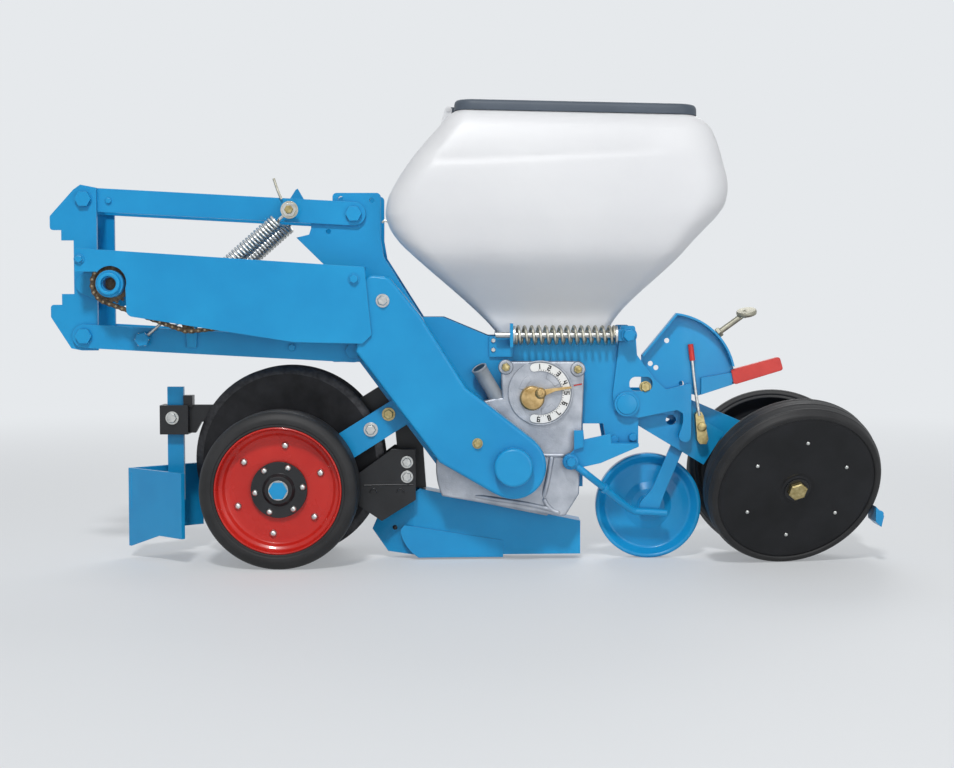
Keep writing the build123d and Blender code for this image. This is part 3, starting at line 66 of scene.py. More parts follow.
def linear(hex_code):
    """sRGB hex colour as linear RGBA."""
    channels = [int(hex_code[i:i + 2], 16) / 255 for i in (1, 3, 5)]
    return (*[c / 12.92 if c <= 0.04045 else ((c + 0.055) / 1.055) ** 2.4 for c in channels], 1.0)


def add_node(tree, kind, inputs=None, **settings):
    """Add one shader node; inputs maps each socket to a constant or to another node's output."""
    made = tree.nodes.new(kind)
    for name, value in settings.items():
        setattr(made, name, value)
    for socket, value in (inputs or {}).items():
        if isinstance(value, bpy.types.NodeSocket):
            tree.links.new(value, made.inputs[socket])
        else:
            made.inputs[socket].default_value = value
    return made


def finish(name, colors, blotch_mm, rough, bump, metallic=0.0, edge=None, edge_mm=1.2, corner_shade=None,
           **sockets):
    """One surface finish.

    The colour runs between the two colors in blotches of blotch_mm, and the roughness between the two
    values of rough. A bump, given as its grain in mm and its strength, is the texture. Edges are rounded
    by edge_mm, and where edge is a colour they show it, as paint does where it has rubbed thin. Corners
    that little light reaches, as the ambient occlusion node finds them within corner_shade_mm, take the
    corner_shade colour: painted shade.
    """
    # corner_shade_mm is the reach of the painted shade in corners; chip_mm is the grain of the rubbed edges
    chip_mm, corner_shade_mm = 14.0, 22.0
    bump_mm, bump_strength = bump
    made = bpy.data.materials.new(name)
    made.use_nodes = True
    tree = made.node_tree
    shader = tree.nodes["Principled BSDF"]
    place = add_node(tree, "ShaderNodeTexCoord").outputs["Object"]
    blotches, chips, grains = [
        add_node(tree, "ShaderNodeTexNoise", {"Vector": place, "Scale": 1 / (size * MM), "Detail": detail})
        for size, detail in ((blotch_mm, 4.0), (chip_mm, 5.0), (bump_mm, 2.0))
    ]
    blotch = blotches.outputs["Fac"]
    low, high = colors
    spread = add_node(tree, "ShaderNodeMapRange", {"Value": blotch, "From Min": 0.3, "From Max": 0.7})
    color = add_node(tree, "ShaderNodeMix", {0: spread.outputs["Result"], 6: linear(low), 7: linear(high)},
                     data_type="RGBA").outputs[2]
    rounded = add_node(tree, "ShaderNodeBevel", {"Radius": edge_mm * MM}, samples=4).outputs["Normal"]
    # Painted shade: where ambient occlusion finds corners and recesses, the colour darkens towards
    # corner_shade
    if corner_shade:
        sky = add_node(tree, "ShaderNodeAmbientOcclusion", {"Distance": corner_shade_mm * MM}, samples=6)
        shade_share = add_node(tree, "ShaderNodeMapRange",
                        {"Value": sky.outputs["AO"], "From Min": 0.75, "From Max": 0.2, "To Max": 0.6})
        color = add_node(tree, "ShaderNodeMix", {0: shade_share.outputs["Result"], 6: color, 7: linear(corner_shade)},
                         data_type="RGBA").outputs[2]
    if edge:
        flat = add_node(tree, "ShaderNodeNewGeometry").outputs["Normal"]
        match = add_node(tree, "ShaderNodeVectorMath", {0: rounded, 1: flat}, operation="DOT_PRODUCT")
        bent = add_node(tree, "ShaderNodeMath", {0: 1.0, 1: match.outputs["Value"]}, operation="SUBTRACT")
        rubbed = add_node(tree, "ShaderNodeMath", {0: bent.outputs["Value"], 1: chips.outputs["Fac"]},
                          operation="MULTIPLY")
        thin = add_node(tree, "ShaderNodeMapRange",
                        {"Value": rubbed.outputs["Value"], "From Min": 0.03, "From Max": 0.16,
                         "To Max": 0.55})
        color = add_node(tree, "ShaderNodeMix", {0: thin.outputs["Result"], 6: color, 7: linear(edge)},
                         data_type="RGBA").outputs[2]
    shine = add_node(tree, "ShaderNodeMapRange", {"Value": blotch, "To Min": rough[0], "To Max": rough[1]})
    relief = add_node(tree, "ShaderNodeBump",
                      {"Height": grains.outputs["Fac"], "Strength": bump_strength, "Distance": bump_mm * MM,
                       "Normal": rounded})
    tree.links.new(color, shader.inputs["Base Color"])
    tree.links.new(shine.outputs["Result"], shader.inputs["Roughness"])
    tree.links.new(relief.outputs["Normal"], shader.inputs["Normal"])
    shader.inputs["Metallic"].default_value = metallic
    for socket, value in sockets.items():
        shader.inputs[socket.replace("_", " ").title().replace("Ior", "IOR")].default_value = value
    return made


def make_finishes():
    """Every finish of the unit, by the record's slot that wears it, and four that only new pieces wear."""
    return {
        # Powder coat: thick even gloss with faint orange peel, paler where edges rub, painted shade in
        # corners
        "blue_paint": finish("azure_powder_coat", ("#0F8FCB", "#1C9FD9"), 160, (0.26, 0.38), (1.6, 0.05),
                             edge="#6FC0EA", corner_shade="#0A4F86", coat_weight=0.12, specular_ior_level=0.35),
        # Black enamel on brackets: satin, dusty, painted shade in corners
        "black_paint": finish("black_enamel", ("#161719", "#242528"), 60, (0.28, 0.44), (1.5, 0.06),
                              edge="#55565A", corner_shade="#0B0B0C", specular_ior_level=0.45),
        # Wheel enamel: bright gloss red, painted shade in corners
        "red_paint": finish("red_enamel", ("#BE2119", "#CF3128"), 120, (0.22, 0.34), (1.6, 0.04),
                            edge="#E0766E", corner_shade="#74120E", coat_weight=0.15, specular_ior_level=0.35),
        # Zinc plate: bright cool metal with cloudy patches
        "zinc_steel": finish("zinc_plate", ("#B9BBBA", "#DADAD6"), 8, (0.24, 0.42), (0.8, 0.04), 1.0,
                             edge_mm=0.5),
        # Rolled disc steel: near black scale with a dull sheen
        "disc_steel": finish("rolled_disc_steel", ("#1C1C1E", "#303033"), 40, (0.36, 0.55), (1.2, 0.07), 0.6,
                             edge="#77787A"),
        # Oiled chain steel: brown film over grey
        "chain_steel": finish("oiled_chain_steel", ("#3A3129", "#7A6A56"), 6, (0.35, 0.6), (0.8, 0.1), 0.8,
                              edge_mm=0.5),
        # Rotomoulded polyethylene: milky, light travels inside the wall
        "hopper_plastic": finish("milky_polyethylene", ("#E4E5E8", "#ECEDEF"), 220, (0.34, 0.46),
                                 (2.2, 0.03), subsurface_weight=0.3, subsurface_scale=0.01,
                                 subsurface_radius=(1.0, 1.0, 1.0)),
        # Moulded lid: slate plastic with a fine leather grain, drawn coarse enough to show
        "lid_plastic": finish("slate_moulded_plastic", ("#414B57", "#505A66"), 90, (0.46, 0.6), (1.4, 0.16)),
        # Sand-cast aluminium: pale grey, pebbled and stained, painted shade in corners
        "meter_cast": finish("sand_cast_aluminium", ("#9BA0A9", "#C0C4CB"), 34, (0.4, 0.56), (2.4, 0.2),
                             metallic=0.75, corner_shade="#5E6670"),
        # Printed dial: smooth white lacquer
        "dial_plastic": finish("white_dial_lacquer", ("#EDEDEA", "#F6F6F3"), 20, (0.3, 0.42), (1.0, 0.02),
                               edge_mm=0.4),
        # Cast brass: warm with brown tarnish
        "selector_brass": finish("tarnished_brass", ("#A2834F", "#D3B683"), 12, (0.3, 0.5), (1.2, 0.12), 0.9,
                                 edge_mm=0.8),
        # Extruded hose plastic: plain grey with a soft shine
        "spout_plastic": finish("grey_hose_plastic", ("#868C93", "#9DA3A9"), 30, (0.34, 0.5), (1.4, 0.06)),
        # Tyre rubber: matt black with a little dust, painted shade in corners
        "tyre_rubber": finish("tyre_rubber", ("#1B1B1C", "#29292A"), 45, (0.46, 0.64), (1.8, 0.1),
                              edge="#3A3A3A", corner_shade="#0C0C0C", specular_ior_level=0.4),
        # Moulded wheel plastic: charcoal, with little shine
        "press_wheel_plastic": finish("charcoal_wheel_plastic", ("#17181A", "#222326"), 70, (0.4, 0.55),
                                      (1.6, 0.08), specular_ior_level=0.25),
        # Dipped vinyl grip: soft red gloss with round edges
        "grip_plastic": finish("red_dipped_vinyl", ("#CF2A23", "#DE3B32"), 25, (0.28, 0.4), (1.4, 0.05),
                               edge_mm=2.5),
        # Yellow passivated zinc: straw colour with a faint change of hue, here as two tones
        "latch_zinc": finish("yellow_zinc", ("#A08F5E", "#CBBC8B"), 7, (0.26, 0.46), (0.9, 0.06), 0.95,
                             edge_mm=0.6),
        # Press spring wire: plated, a little straw coloured
        "spring_zinc": finish("plated_spring_wire", ("#B4B0A0", "#D6D2C4"), 9, (0.26, 0.42), (0.8, 0.04),
                              metallic=1.0, edge_mm=0.4),
        # Edge ring of a disc: a little lighter than the disc, as painted highlight along the edge
        "edge_highlight_steel": finish("disc_edge_painted_highlight", ("#2F2F31", "#454547"), 10, (0.34, 0.5), (0.8, 0.06), 0.8,
                              edge_mm=0.4),
        # Dull plating of the depth crank: straw grey, greasy
        "crank_zinc": finish("dull_crank_plate", ("#8E8C80", "#ABA897"), 11, (0.42, 0.6), (1.0, 0.03), 0.9,
                             edge_mm=0.8),
        # Chain rollers: polished by running
        "chain_roller": finish("polished_roller_steel", ("#8C7A60", "#B9A88C"), 5, (0.28, 0.45), (0.8, 0.06),
                               metallic=0.9, edge_mm=0.4),
    }


def unit(vector):
    """The vector at length one."""
    vector = np.asarray(vector, float)
    return vector / np.linalg.norm(vector)


def across(axis):
    """Two unit vectors square to axis and to each other, right-handed with it."""
    axis = unit(axis)
    first = unit(np.cross(axis, UP if abs(axis[2]) < 0.9 else np.array((1.0, 0.0, 0.0))))
    return first, np.cross(axis, first)


def circle(angle):
    """Points (cos t, sin t) for each angle t."""
    return np.column_stack([np.cos(angle), np.sin(angle)])


def around(angle, axis):
    """Unit vectors a cos t + b sin t round an axis, for each angle t."""
    return circle(angle) @ np.array(across(axis))


def grid_faces(rows, columns, wrap):
    """Quads of a grid of rows by columns points, whose columns join up where wrap is true."""
    columns_used = np.arange(columns if wrap else columns - 1)
    row, column = np.meshgrid(np.arange(rows - 1), columns_used, indexing="ij")
    after = (column + 1) % columns
    quads = np.stack([row * columns + column, row * columns + after,
                      (row + 1) * columns + after, (row + 1) * columns + column], axis=-1)
    return quads.reshape(-1, 4)


def skin(rows, wrap=True):
    """Surface through rows of points, as its points and its quads."""
    return rows.reshape(-1, 3), grid_faces(len(rows), rows.shape[1], wrap)


def lathe(profile, center, axis, segments=48, start=0.0):
    """Surface of revolution in mm: center + r (a cos t + b sin t) + u axis, for (r, u) along the profile.

    A profile that starts and ends on the axis closes with its poles.
    """
    profile = np.asarray(profile, float)
    ring = around(start + np.arange(segments) * 2 * pi / segments, axis)
    return skin(np.asarray(center, float) + profile[:, 0, None, None] * ring[None]
                + profile[:, 1, None, None] * unit(axis))


def turned(corners, center, axis, segments):
    """Lathe of a profile with rounded corners."""
    return lathe(rounded_profile(corners), center, axis, segments)


def disc(center, axis, radius, height, segments=32):
    """Short round bar: a lathe whose profile is a rectangle on the axis."""
    return lathe([(0, 0), (radius, 0), (radius, height), (0, height)], center, axis, segments)


def washer(center, axis, inner, outer, height, segments=32):
    """Flat ring with square edges."""
    profile = [(inner, 0), (outer, 0), (outer, height), (inner, height), (inner, 0)]
    return lathe(profile, center, axis, segments)


def hex_head(center, axis, across_mm, height, turn=0.0):
    """Hexagon bolt head or nut: six-sided lathe with a chamfered rim."""
    r = across_mm / 2 / cos(pi / 6)
    flat_r, side_height = 0.86 * r, 0.8 * height
    return lathe([(0, 0), (r, 0), (r, side_height), (flat_r, height), (0, height)], center, axis, 6, turn)


def dome_head(center, axis, radius, height):
    """Button head: a lathe whose profile is a quarter ellipse."""
    t = np.linspace(0, pi / 2, 6)
    return lathe([(0, 0), *zip(radius * np.cos(t), height * np.sin(t))], center, axis, 20)


def tube(path, radius, sides=12):
    """Round bar in mm: a circle carried along the path and turned with it, its ends closed by caps."""
    path = np.asarray(path, float)
    along = np.gradient(path, axis=0)
    along /= np.linalg.norm(along, axis=1)[:, None]
    reference = across(along[0])[0]
    first = reference - (along @ reference)[:, None] * along
    first /= np.linalg.norm(first, axis=1)[:, None]
    second = np.cross(along, first)
    angle = np.arange(sides) * 2 * pi / sides
    ring = np.cos(angle)[None, :, None] * first[:, None] + np.sin(angle)[None, :, None] * second[:, None]
    points = path[:, None] + radius * ring
    near_cap, far_cap = (np.repeat(end, sides, 0)[None] for end in (path[:1], path[-1:]))
    return skin(np.concatenate([near_cap, points, far_cap]))


def prism(outline, y_near, y_far):
    """Flat plate in mm: an outline of (x, z) points, carried from y_near to y_far, with both ends filled."""
    outline = np.asarray(outline, float)
    count = len(outline)
    points = np.concatenate([np.column_stack([outline[:, 0], np.full(count, y), outline[:, 1]])
                             for y in (y_near, y_far)])
    sides = grid_faces(2, count, True)
    return points, [*sides.tolist(), list(range(count)), list(range(2 * count - 1, count - 1, -1))]


def joined(parts):
    """Several surfaces as one list of points and one list of faces."""
    points, faces, start = [], [], 0
    for part_points, part_faces in parts:
        points.append(part_points)
        faces.extend((np.asarray(face) + start).tolist() for face in part_faces)
        start += len(part_points)
    return np.concatenate(points), faces


def piece(name, parts, coat, body="root", stands_for=(), sharp=35.0):
    """One new object from surfaces in mm, merged, its faces turned outwards, riding on a body.

    It wears the finish named coat, the one made for the record's slot of that name where there is one.
    """
    points, faces = joined(parts)
    mesh = bpy.data.meshes.new(name)
    mesh.from_pydata((points * MM).tolist(), [], faces)
    tidy(mesh)
    mesh.polygons.foreach_set("use_smooth", np.ones(len(mesh.polygons), bool))
    mesh.set_sharp_from_angle(angle=radians(sharp))
    mesh.materials.append(FINISHES[coat])
    made = bpy.data.objects.new(name, mesh)
    bpy.context.scene.collection.objects.link(made)
    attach(made, body)
    if stands_for:
        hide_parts(*stands_for)
    return made


def tidy(mesh):
    """Merge doubled points, drop faces without area and turn the rest outwards."""
    work = bmesh.new()
    work.from_mesh(mesh)
    bmesh.ops.remove_doubles(work, verts=work.verts, dist=1e-6)
    bmesh.ops.dissolve_degenerate(work, edges=work.edges, dist=1e-7)
    bmesh.ops.recalc_face_normals(work, faces=work.faces)
    work.to_mesh(mesh)
    work.free()


def ring_of(count, radius, center, axis, start=0.0):
    """Places at even angles round an axis: center + r (a cos t + b sin t)."""
    angle = start + np.arange(count) * 2 * pi / count
    return np.asarray(center, float) + radius * around(angle, axis)


def rounded_profile(corners, steps=5):
    """Profile through (r, u, round) corners, each turned into an arc of that radius."""
    nearly_straight = 1.55
    corners = np.asarray(corners, float)
    points = corners[:, :2]
    made = [points[0]]
    for before, corner, after, radius in zip(points, points[1:], points[2:], corners[1:-1, 2]):
        to_before, to_after = unit(before - corner), unit(after - corner)
        half = np.arccos(np.clip(to_before @ to_after, -1, 1)) / 2
        if radius <= 0 or half > nearly_straight:
            made.append(corner)
            continue
        middle = corner + unit(to_before + to_after) * radius / np.sin(half)
        start = corner + to_before * radius / np.tan(half) - middle
        end = corner + to_after * radius / np.tan(half) - middle
        for share in np.linspace(0, 1, steps):
            made.append(middle + unit(start * (1 - share) + end * share) * radius)
    made.append(points[-1])
    return np.array(made)


def helix(start, end, radius, turns, closed_turns=1.0, per_turn=24):
    """Centre line of a coil spring: r (a cos t + b sin t) + axis x, its pitch closing up at both ends."""
    closed_pitch = 0.28
    start, end = np.asarray(start, float), np.asarray(end, float)
    turn = np.linspace(0, turns, int(turns * per_turn) + 1)
    slow = np.clip(np.minimum(turn, turns - turn) / closed_turns, closed_pitch, 1.0)
    along = np.concatenate([[0], np.cumsum((slow[1:] + slow[:-1]) / 2 * np.diff(turn))])
    along /= along[-1]
    return start + along[:, None] * (end - start) + radius * around(2 * pi * turn, end - start)


def both_sides(build):
    """One list of surfaces from build(way) for way -1 (left) and 1 (right)."""
    return [surface for way in (-1, 1) for surface in build(way)]


class PLANTER_PG_wheels(PropertyGroup):
    """Sizes of the wheels' tyres and fasteners, in mm."""

    gauge_round: FloatProperty(name="Gauge shoulder", default=15.0,
                               description="Rounding of the gauge tyre's shoulders, mm")
    press_ribs: IntProperty(name="Press ribs", description="Grooves round the press tyre's tread", default=3)
    rim_bolts: IntProperty(name="Rim bolts", description="Bolts in each wheel's face", default=6)


class PLANTER_OT_wheels(Operator):
    """Round tyres, dished rims and the bolts of the gauge, press and seed wheels"""

    bl_idname = "planter.wheels"
    bl_label = "Wheels"

    def execute(self, context):
        setup = context.scene.planter_wheels
        for side, way in SIDES:
            self.gauge_wheel(setup, side, way)
            self.press_wheel(setup, side, way)
            self.opener(side, way)
        self.seed_wheel()
        return {"FINISHED"}

    def gauge_wheel(self, setup, side, way):
        """Tyre as a lathe of arcs, rim as a pressed dish, two circles of button heads and an axle washer."""
        center, axis = np.array((-362.0, way * 125.0, 152.5)), np.array((0.0, way, 0.0))
        body = f"gauge_wheel_{side}"
        swell = setup.gauge_round
        tyre = rounded_profile([
            # radius, distance along the axle, rounding
            (122.0, -40.0, 0), (122.5, -45.0, 3), (137.0, -45.0, 12), (152.5, -37.0, swell),
            (152.5, 37.0, swell), (137.0, 45.0, 12), (128.5, 45.0, 2), (127.5, 43.0, 1), (122.5, 43.5, 2),
            (122.0, 38.0, 0),
        ])
        piece(f"gauge_tyre_skin_{side}", [lathe([*tyre, tyre[0]], center, axis, 96)], "tyre_rubber", body,
              stands_for=(f"gauge_tyre_{side}",))
        rim = rounded_profile([
            (122.0, -43.0, 0), (122.0, 42.0, 1), (119.5, 43.5, 1), (118.0, 41.5, 1.5), (116.5, 26.0, 6),
            (109.0, 22.0, 4), (104.0, 15.5, 4), (96.0, 13.8, 6), (38.3, 13.8, 0),
        ])
        back = [(38.3, 9.0), (97.0, 9.0), (107.0, 12.0), (112.0, 18.0), (117.0, 20.0), (118.0, -43.0)]
        piece(f"gauge_rim_skin_{side}", [lathe([*rim, *back, rim[0]], center, axis, 96)], "red_paint", body,
              stands_for=(f"gauge_rim_{side}",))
        bolt_circles = (
            # radius of the circle, first angle, face along the axle, head's radius, head's height
            (86.0, radians(22), 13.8, 7.4, 6.4),
            (46.0, radians(7), 22.0, 6.4, 5.6),
        )
        bolts = [dome_head(place + axis * face, axis, radius, height)
                 for circle_r, first, face, radius, height in bolt_circles
                 for place in ring_of(setup.rim_bolts, circle_r, center, axis, first)]
        bolts.append(washer(center + axis * 30.0, axis, 12.1, 19.0, 3.0))
        piece(f"gauge_bolts_{side}", bolts, "zinc_steel", body)

    def press_wheel(self, setup, side, way):
        """Ribbed tread: radius = shoulder arc less a cosine groove for each rib; a flat face with screws."""
        camber, toe = radians(26), radians(10)
        tread_r, shoulder_drop, half_width = 174.6, 5.2, 27.0
        grooved, groove_mm, groove_floor = 22.0, 2.2, 0.55
        center = np.array((629.0, way * 110.0, 164.41))
        axis = (sin(toe) * cos(camber), way * cos(toe) * cos(camber), -sin(camber))
        out = unit(axis)
        body = f"press_wheel_{side}"
        along = np.linspace(-half_width, half_width, 73)
        shoulder = tread_r - shoulder_drop * np.abs(along / half_width) ** 3
        wave = np.cos(pi * setup.press_ribs * (along + half_width) / half_width + pi)
        groove = groove_mm * np.clip(wave, groove_floor, 1) - groove_mm
        tread = np.column_stack([shoulder + groove * (np.abs(along) < grooved), along])
        outer = rounded_profile([(169.3, 27.5, 0), (166.0, 32.0, 6), (158.0, 31.5, 3), (156.0, 29.0, 0)])
        inner = outer[::-1] * (1, -1)
        piece(f"press_tyre_skin_{side}", [lathe([*inner, *tread, *outer, inner[0]], center, axis, 112)],
              "tyre_rubber", body, stands_for=(f"press_tyre_{side}",))
        face = rounded_profile([
            (12.1, 27.9, 0), (26.0, 27.9, 2), (30.0, 26.5, 2), (36.0, 28.2, 3), (150.0, 30.0, 4),
            (157.0, 28.0, 0),
        ])
        back = rounded_profile([
            (157.0, -29.0, 0), (150.0, -29.0, 2), (146.0, 16.0, 8), (40.0, 15.0, 4), (34.0, -26.0, 2),
            (12.1, -26.0, 0),
        ])
        piece(f"press_face_skin_{side}", [lathe([*face, *back, face[0]], center, axis, 96)],
              "press_wheel_plastic", body, stands_for=(f"press_rim_{side}",))
        screws = [dome_head(place + out * 29.0, axis, 4.0, 3.0)
                  for place in ring_of(setup.rim_bolts, 104.0, center, axis, radians(28))]
        piece(f"press_screws_{side}", screws, "zinc_steel", body)
        boss = washer(center + out * 27.6, axis, 12.2, 24.0, 2.6)
        piece(f"press_boss_{side}", [boss], "black_paint", body)
        nut = hex_head(center + out * 30.4, axis, 33.0, 9.2, 0.35)
        piece(f"press_nut_{side}", [nut], "latch_zinc")

    def opener(self, side, way):
        """Four hub bolts on the tilted disc and a thin ring that narrows to the rim along its edge.

        The ring is a little lighter than the disc: painted highlight along the edge.
        """
        tilt, pinch = radians(6), radians(30)
        axis = (-cos(pinch) * sin(tilt), way * cos(tilt), -sin(pinch) * sin(tilt))
        center = (-355.0, way * 25.0, 196.0)
        body = f"opener_disc_{side}"
        bolts = [hex_head(place + unit(axis) * 16.0, axis, 13.0, 5.0)
                 for place in ring_of(4, 32.0, center, axis, 0.4)]
        piece(f"opener_bolts_{side}", bolts, "black_paint", body)
        # Painted highlight: the edge ring is drawn a little lighter than the disc all round
        edge = [(174.5, 2.1), (190.0, -1.8), (190.2, -2.0), (189.6, -2.2), (174.5, 1.6), (174.5, 2.1)]
        piece(f"opener_edge_{side}", [lathe(edge, center, axis, 128)], "edge_highlight_steel", body)

    def seed_wheel(self):
        """Pressed wheel: a rolled lip, a shallow dish and a raised cone round the hub, as one profile."""
        profile = rounded_profile([
            # radius, distance towards the left, rounding
            (8.2, 12.5, 0), (20.0, 12.5, 2), (23.0, 9.0, 2), (33.0, 8.0, 4), (47.0, 0.5, 7),
            (70.0, -1.5, 12), (86.0, -4.0, 7), (97.5, 11.5, 5), (101.0, 13.0, 1.5),
            (105.0, 12.0, 1.5), (105.0, -12.0, 2), (100.0, -13.0, 2), (84.0, -10.0, 6), (45.0, -6.0, 6),
            (26.0, -9.0, 3), (22.0, -12.5, 2), (8.2, -12.5, 0),
        ])
        dish = lathe([*profile, profile[0]], (361.0, 0.0, 105.0), LEFT, 112)
        piece("seed_wheel_pressing", [dish], "blue_paint", "seed_press_wheel",
              stands_for=("seed_press_wheel",))


class PLANTER_PG_springs(PropertyGroup):
    """Coils of the springs."""

    tension_turns: IntProperty(name="Tension turns", description="Turns of each tension spring", default=40)
    press_turns: IntProperty(name="Press turns", description="Turns of each press spring", default=15)
    tension_wire: FloatProperty(name="Tension wire", description="Wire radius, mm", default=3.0)
    press_wire: FloatProperty(name="Press wire", description="Wire radius, mm", default=2.9)


class PLANTER_OT_springs(Operator):
    """Wound wire springs in place of the turned coils"""

    bl_idname = "planter.springs"
    bl_label = "Springs"

    def execute(self, context):
        setup = context.scene.planter_springs
        top, foot = np.array((-344.0, 0.0, 690.0)), np.array((-630.0, 0.0, 440.0))
        run = unit(foot - top)
        wire = setup.tension_wire

        def tension(way):
            """Close coil, a shank out of each end towards the bolt, and a ring of wire round the bolt."""
            shift = np.array((0.0, way * 94.0, 0.0))
            upper_bolt, lower_bolt = top + shift, foot + shift
            start, end = upper_bolt + run * 34.0, lower_bolt - run * 68.0
            coil = helix(start, end, 16.5 - wire, setup.tension_turns)
            upper = [upper_bolt + run * 9.0, start - run * 8.0, coil[0] - run * 2.0, *coil[:3]]
            lower = [*coil[-3:], coil[-1] + run * 3.0, end + run * 12.0, lower_bolt - run * 9.0]
            ring = wire * circle(np.linspace(0, 2 * pi, 11)) + (9.6, 0.0)
            loops = [lathe(ring, bolt, (0, way, 0), 32) for bolt in (upper_bolt, lower_bolt)]
            return [*(tube(line, wire, 8) for line in (coil, upper, lower)), *loops]

        def press(way):
            """Open coil with flat ends between the bracket and the crank."""
            front, rear = ((x, way * 86.0, 448.0) for x in (94.0, 285.0))
            coil = helix(front, rear, 19.5 - setup.press_wire, setup.press_turns, 1.2)
            return [tube(coil, setup.press_wire, 10)]

        piece("tension_spring_coils", both_sides(tension), "zinc_steel", stands_for=("tension_springs",))
        piece("press_spring_coils", both_sides(press), "spring_zinc",
              stands_for=("press_springs",))
        return {"FINISHED"}


class PLANTER_PG_chain(PropertyGroup):
    """Roller chain of the drive."""

    pitch: FloatProperty(name="Pitch", description="Distance between rollers, mm", default=12.7)
    plate: FloatProperty(name="Plate", description="Radius of a link plate's ends, mm", default=4.6)


class PLANTER_OT_chain(Operator):
    """Roller chain round its three sprockets"""

    bl_idname = "planter.chain"
    bl_label = "Chain"

    def execute(self, context):
        setup = context.scene.planter_chain
        # x, z and pitch radius of the driving, tensioning and driven sprockets, and the chain's plane
        sprockets = np.array([(-680.0, 547.0, 38.0), (-536.0, 472.0, 16.0), (-252.0, 512.0, 26.0)])
        chain_y, plate_mm, cog_half = -132.0, 1.2, 3.0
        route = self.loop(sprockets)
        closed = np.vstack([route, route[:1]])
        length = np.concatenate([[0], np.cumsum(np.linalg.norm(np.diff(closed, axis=0), axis=1))])
        links = 2 * int(length[-1] / setup.pitch / 2)
        stations = np.arange(links) * length[-1] / links
        pins = np.column_stack([np.interp(stations, length, closed[:, i]) for i in (0, 1)])
        roller = [(0, -6.6), (2.2, -6.6), (2.2, -3.8), (3.9, -3.8), (3.9, 3.8), (2.2, 3.8), (2.2, 6.6),
                  (0, 6.6)]
        rollers, plates = [], []
        for index, pin in enumerate(pins):
            ahead = pins[(index + 1) % links]
            rollers.append(lathe(roller, (pin[0], chain_y, pin[1]), (0, 1, 0), 10))
            inner = 3.9 if index % 2 else 5.2
            for way in (-1, 1):
                near, far = sorted((chain_y + way * inner, chain_y + way * (inner + plate_mm)))
                plates.append(prism(self.plate(pin, ahead, setup.plate), near, far))
        piece("chain_rollers", rollers, "chain_roller")
        piece("chain_plates", plates, "chain_steel", stands_for=("drive_chain",))
        wheels = [prism(self.cog(x, z, radius, setup.pitch), chain_y - cog_half, chain_y + cog_half)
                  for x, z, radius in sprockets]
        # Stubs of the tensioning and driven sprockets: face y, reach
        wheels += [disc((x, face, z), LEFT, 9.5, reach, 24)
                   for (x, z, _), (face, reach) in zip(sprockets[1:], ((-88.0, 51.0), (-64.0, 75.0)))]
        piece("sprocket_teeth", wheels, "chain_steel", stands_for=("chain_sprockets",))
        hanger = [(-545, 424), (-527, 424), (-524, 472), (-530, 482), (-542, 482), (-548, 472)]
        piece("tensioner_hanger", [prism(hanger, -94.0, -88.0)], "blue_paint")
        return {"FINISHED"}

    @staticmethod
    def loop(circles):
        """Belt round circles: for each direction n the point c + r n of the circle that reaches furthest."""
        normal = circle(np.linspace(0, 2 * pi, 1440, endpoint=False))
        reach = normal @ circles[:, :2].T + circles[:, 2]
        first = circles[np.argmax(reach, axis=1)]
        return first[:, :2] + first[:, 2:] * normal

    @staticmethod
    def plate(pin, ahead, radius):
        """Outline of one link plate: two half circles round its pins, drawn in at the waist."""
        along = unit(ahead - pin)
        square = np.array((-along[1], along[0]))
        half_circle = radius * circle(np.linspace(pi / 2, 3 * pi / 2, 6)) @ np.array((along, square))
        middle, waist = (pin + ahead) / 2, square * radius * 0.75
        return np.vstack([pin + half_circle, middle - waist, ahead - half_circle, middle + waist])

    @staticmethod
    def cog(x, z, radius, pitch):
        """Outline of a sprocket with n teeth: r - root + depth cos(n t), cut at the roots and tips."""
        root, depth, tip = 4.2, 6.0, 0.75
        teeth = max(8, int(round(2 * pi * radius / pitch)))
        angle = np.linspace(0, 2 * pi, teeth * 12, endpoint=False)
        edge = radius - root + depth * np.clip(np.cos(teeth * angle), 0, tip)
        return edge[:, None] * circle(angle) + (x, z)


HOPPER_ROWS = np.array((
    # share of the height, front x, rear x, half width, corner radius, fall of the rear edge
    (0.0, 62, 272, 48, 16, 0),
    (0.075, 33, 290, 50, 20, 0),
    (0.371, -109, 412, 150, 44, 0),
    (0.424, -133, 431, 158, 50, 2),
    (0.487, -151, 456, 163, 56, 4),
    (0.545, -158, 479, 166, 60, 5),
    (0.604, -154, 495, 167, 62, 6),
    (0.674, -140, 500, 166, 62, 7),
    (0.802, -103, 489, 158, 56, 8),
    (0.932, -55, 471, 141, 46, 9),
    (0.979, -37, 455, 130, 38, 10),
    (1.0, -23, 438, 122, 32, 10),
))
HOPPER_LOW, HOPPER_HEIGHT = 446.0, 429.0
# x and z of the lid's hinge
HINGE = np.array((-38.0, 887.0))


def smooth_rows(table, count):
    """Cubic Hermite curves through the table's rows over its first column, none of which overshoots."""
    given = table[:, 0]
    share = np.sort(np.concatenate([given, np.linspace(given[0], given[-1], count)]))
    gap = np.diff(given)[:, None]
    chord = np.diff(table[:, 1:], axis=0) / gap
    slope = np.zeros_like(table[:, 1:])
    same = chord[:-1] * chord[1:] > 0
    slope[1:-1] = np.where(same, 2 * chord[:-1] * chord[1:] / np.where(same, chord[:-1] + chord[1:], 1), 0)
    slope[0], slope[-1] = chord[0], chord[-1]
    row = np.clip(np.searchsorted(given, share, "right") - 1, 0, len(given) - 2)
    step = gap[row]
    t = ((share - given[row]) / step[:, 0])[:, None]
    value = ((2 * t ** 3 - 3 * t ** 2 + 1) * table[row, 1:] + (t ** 3 - 2 * t ** 2 + t) * step * slope[row]
             + (3 * t ** 2 - 2 * t ** 3) * table[row + 1, 1:] + (t ** 3 - t ** 2) * step * slope[row + 1])
    return np.column_stack([share, value])


def columns(*values):
    """Each value as a column, one row for each of its numbers."""
    return [np.atleast_1d(np.asarray(value, float))[:, None] for value in values]


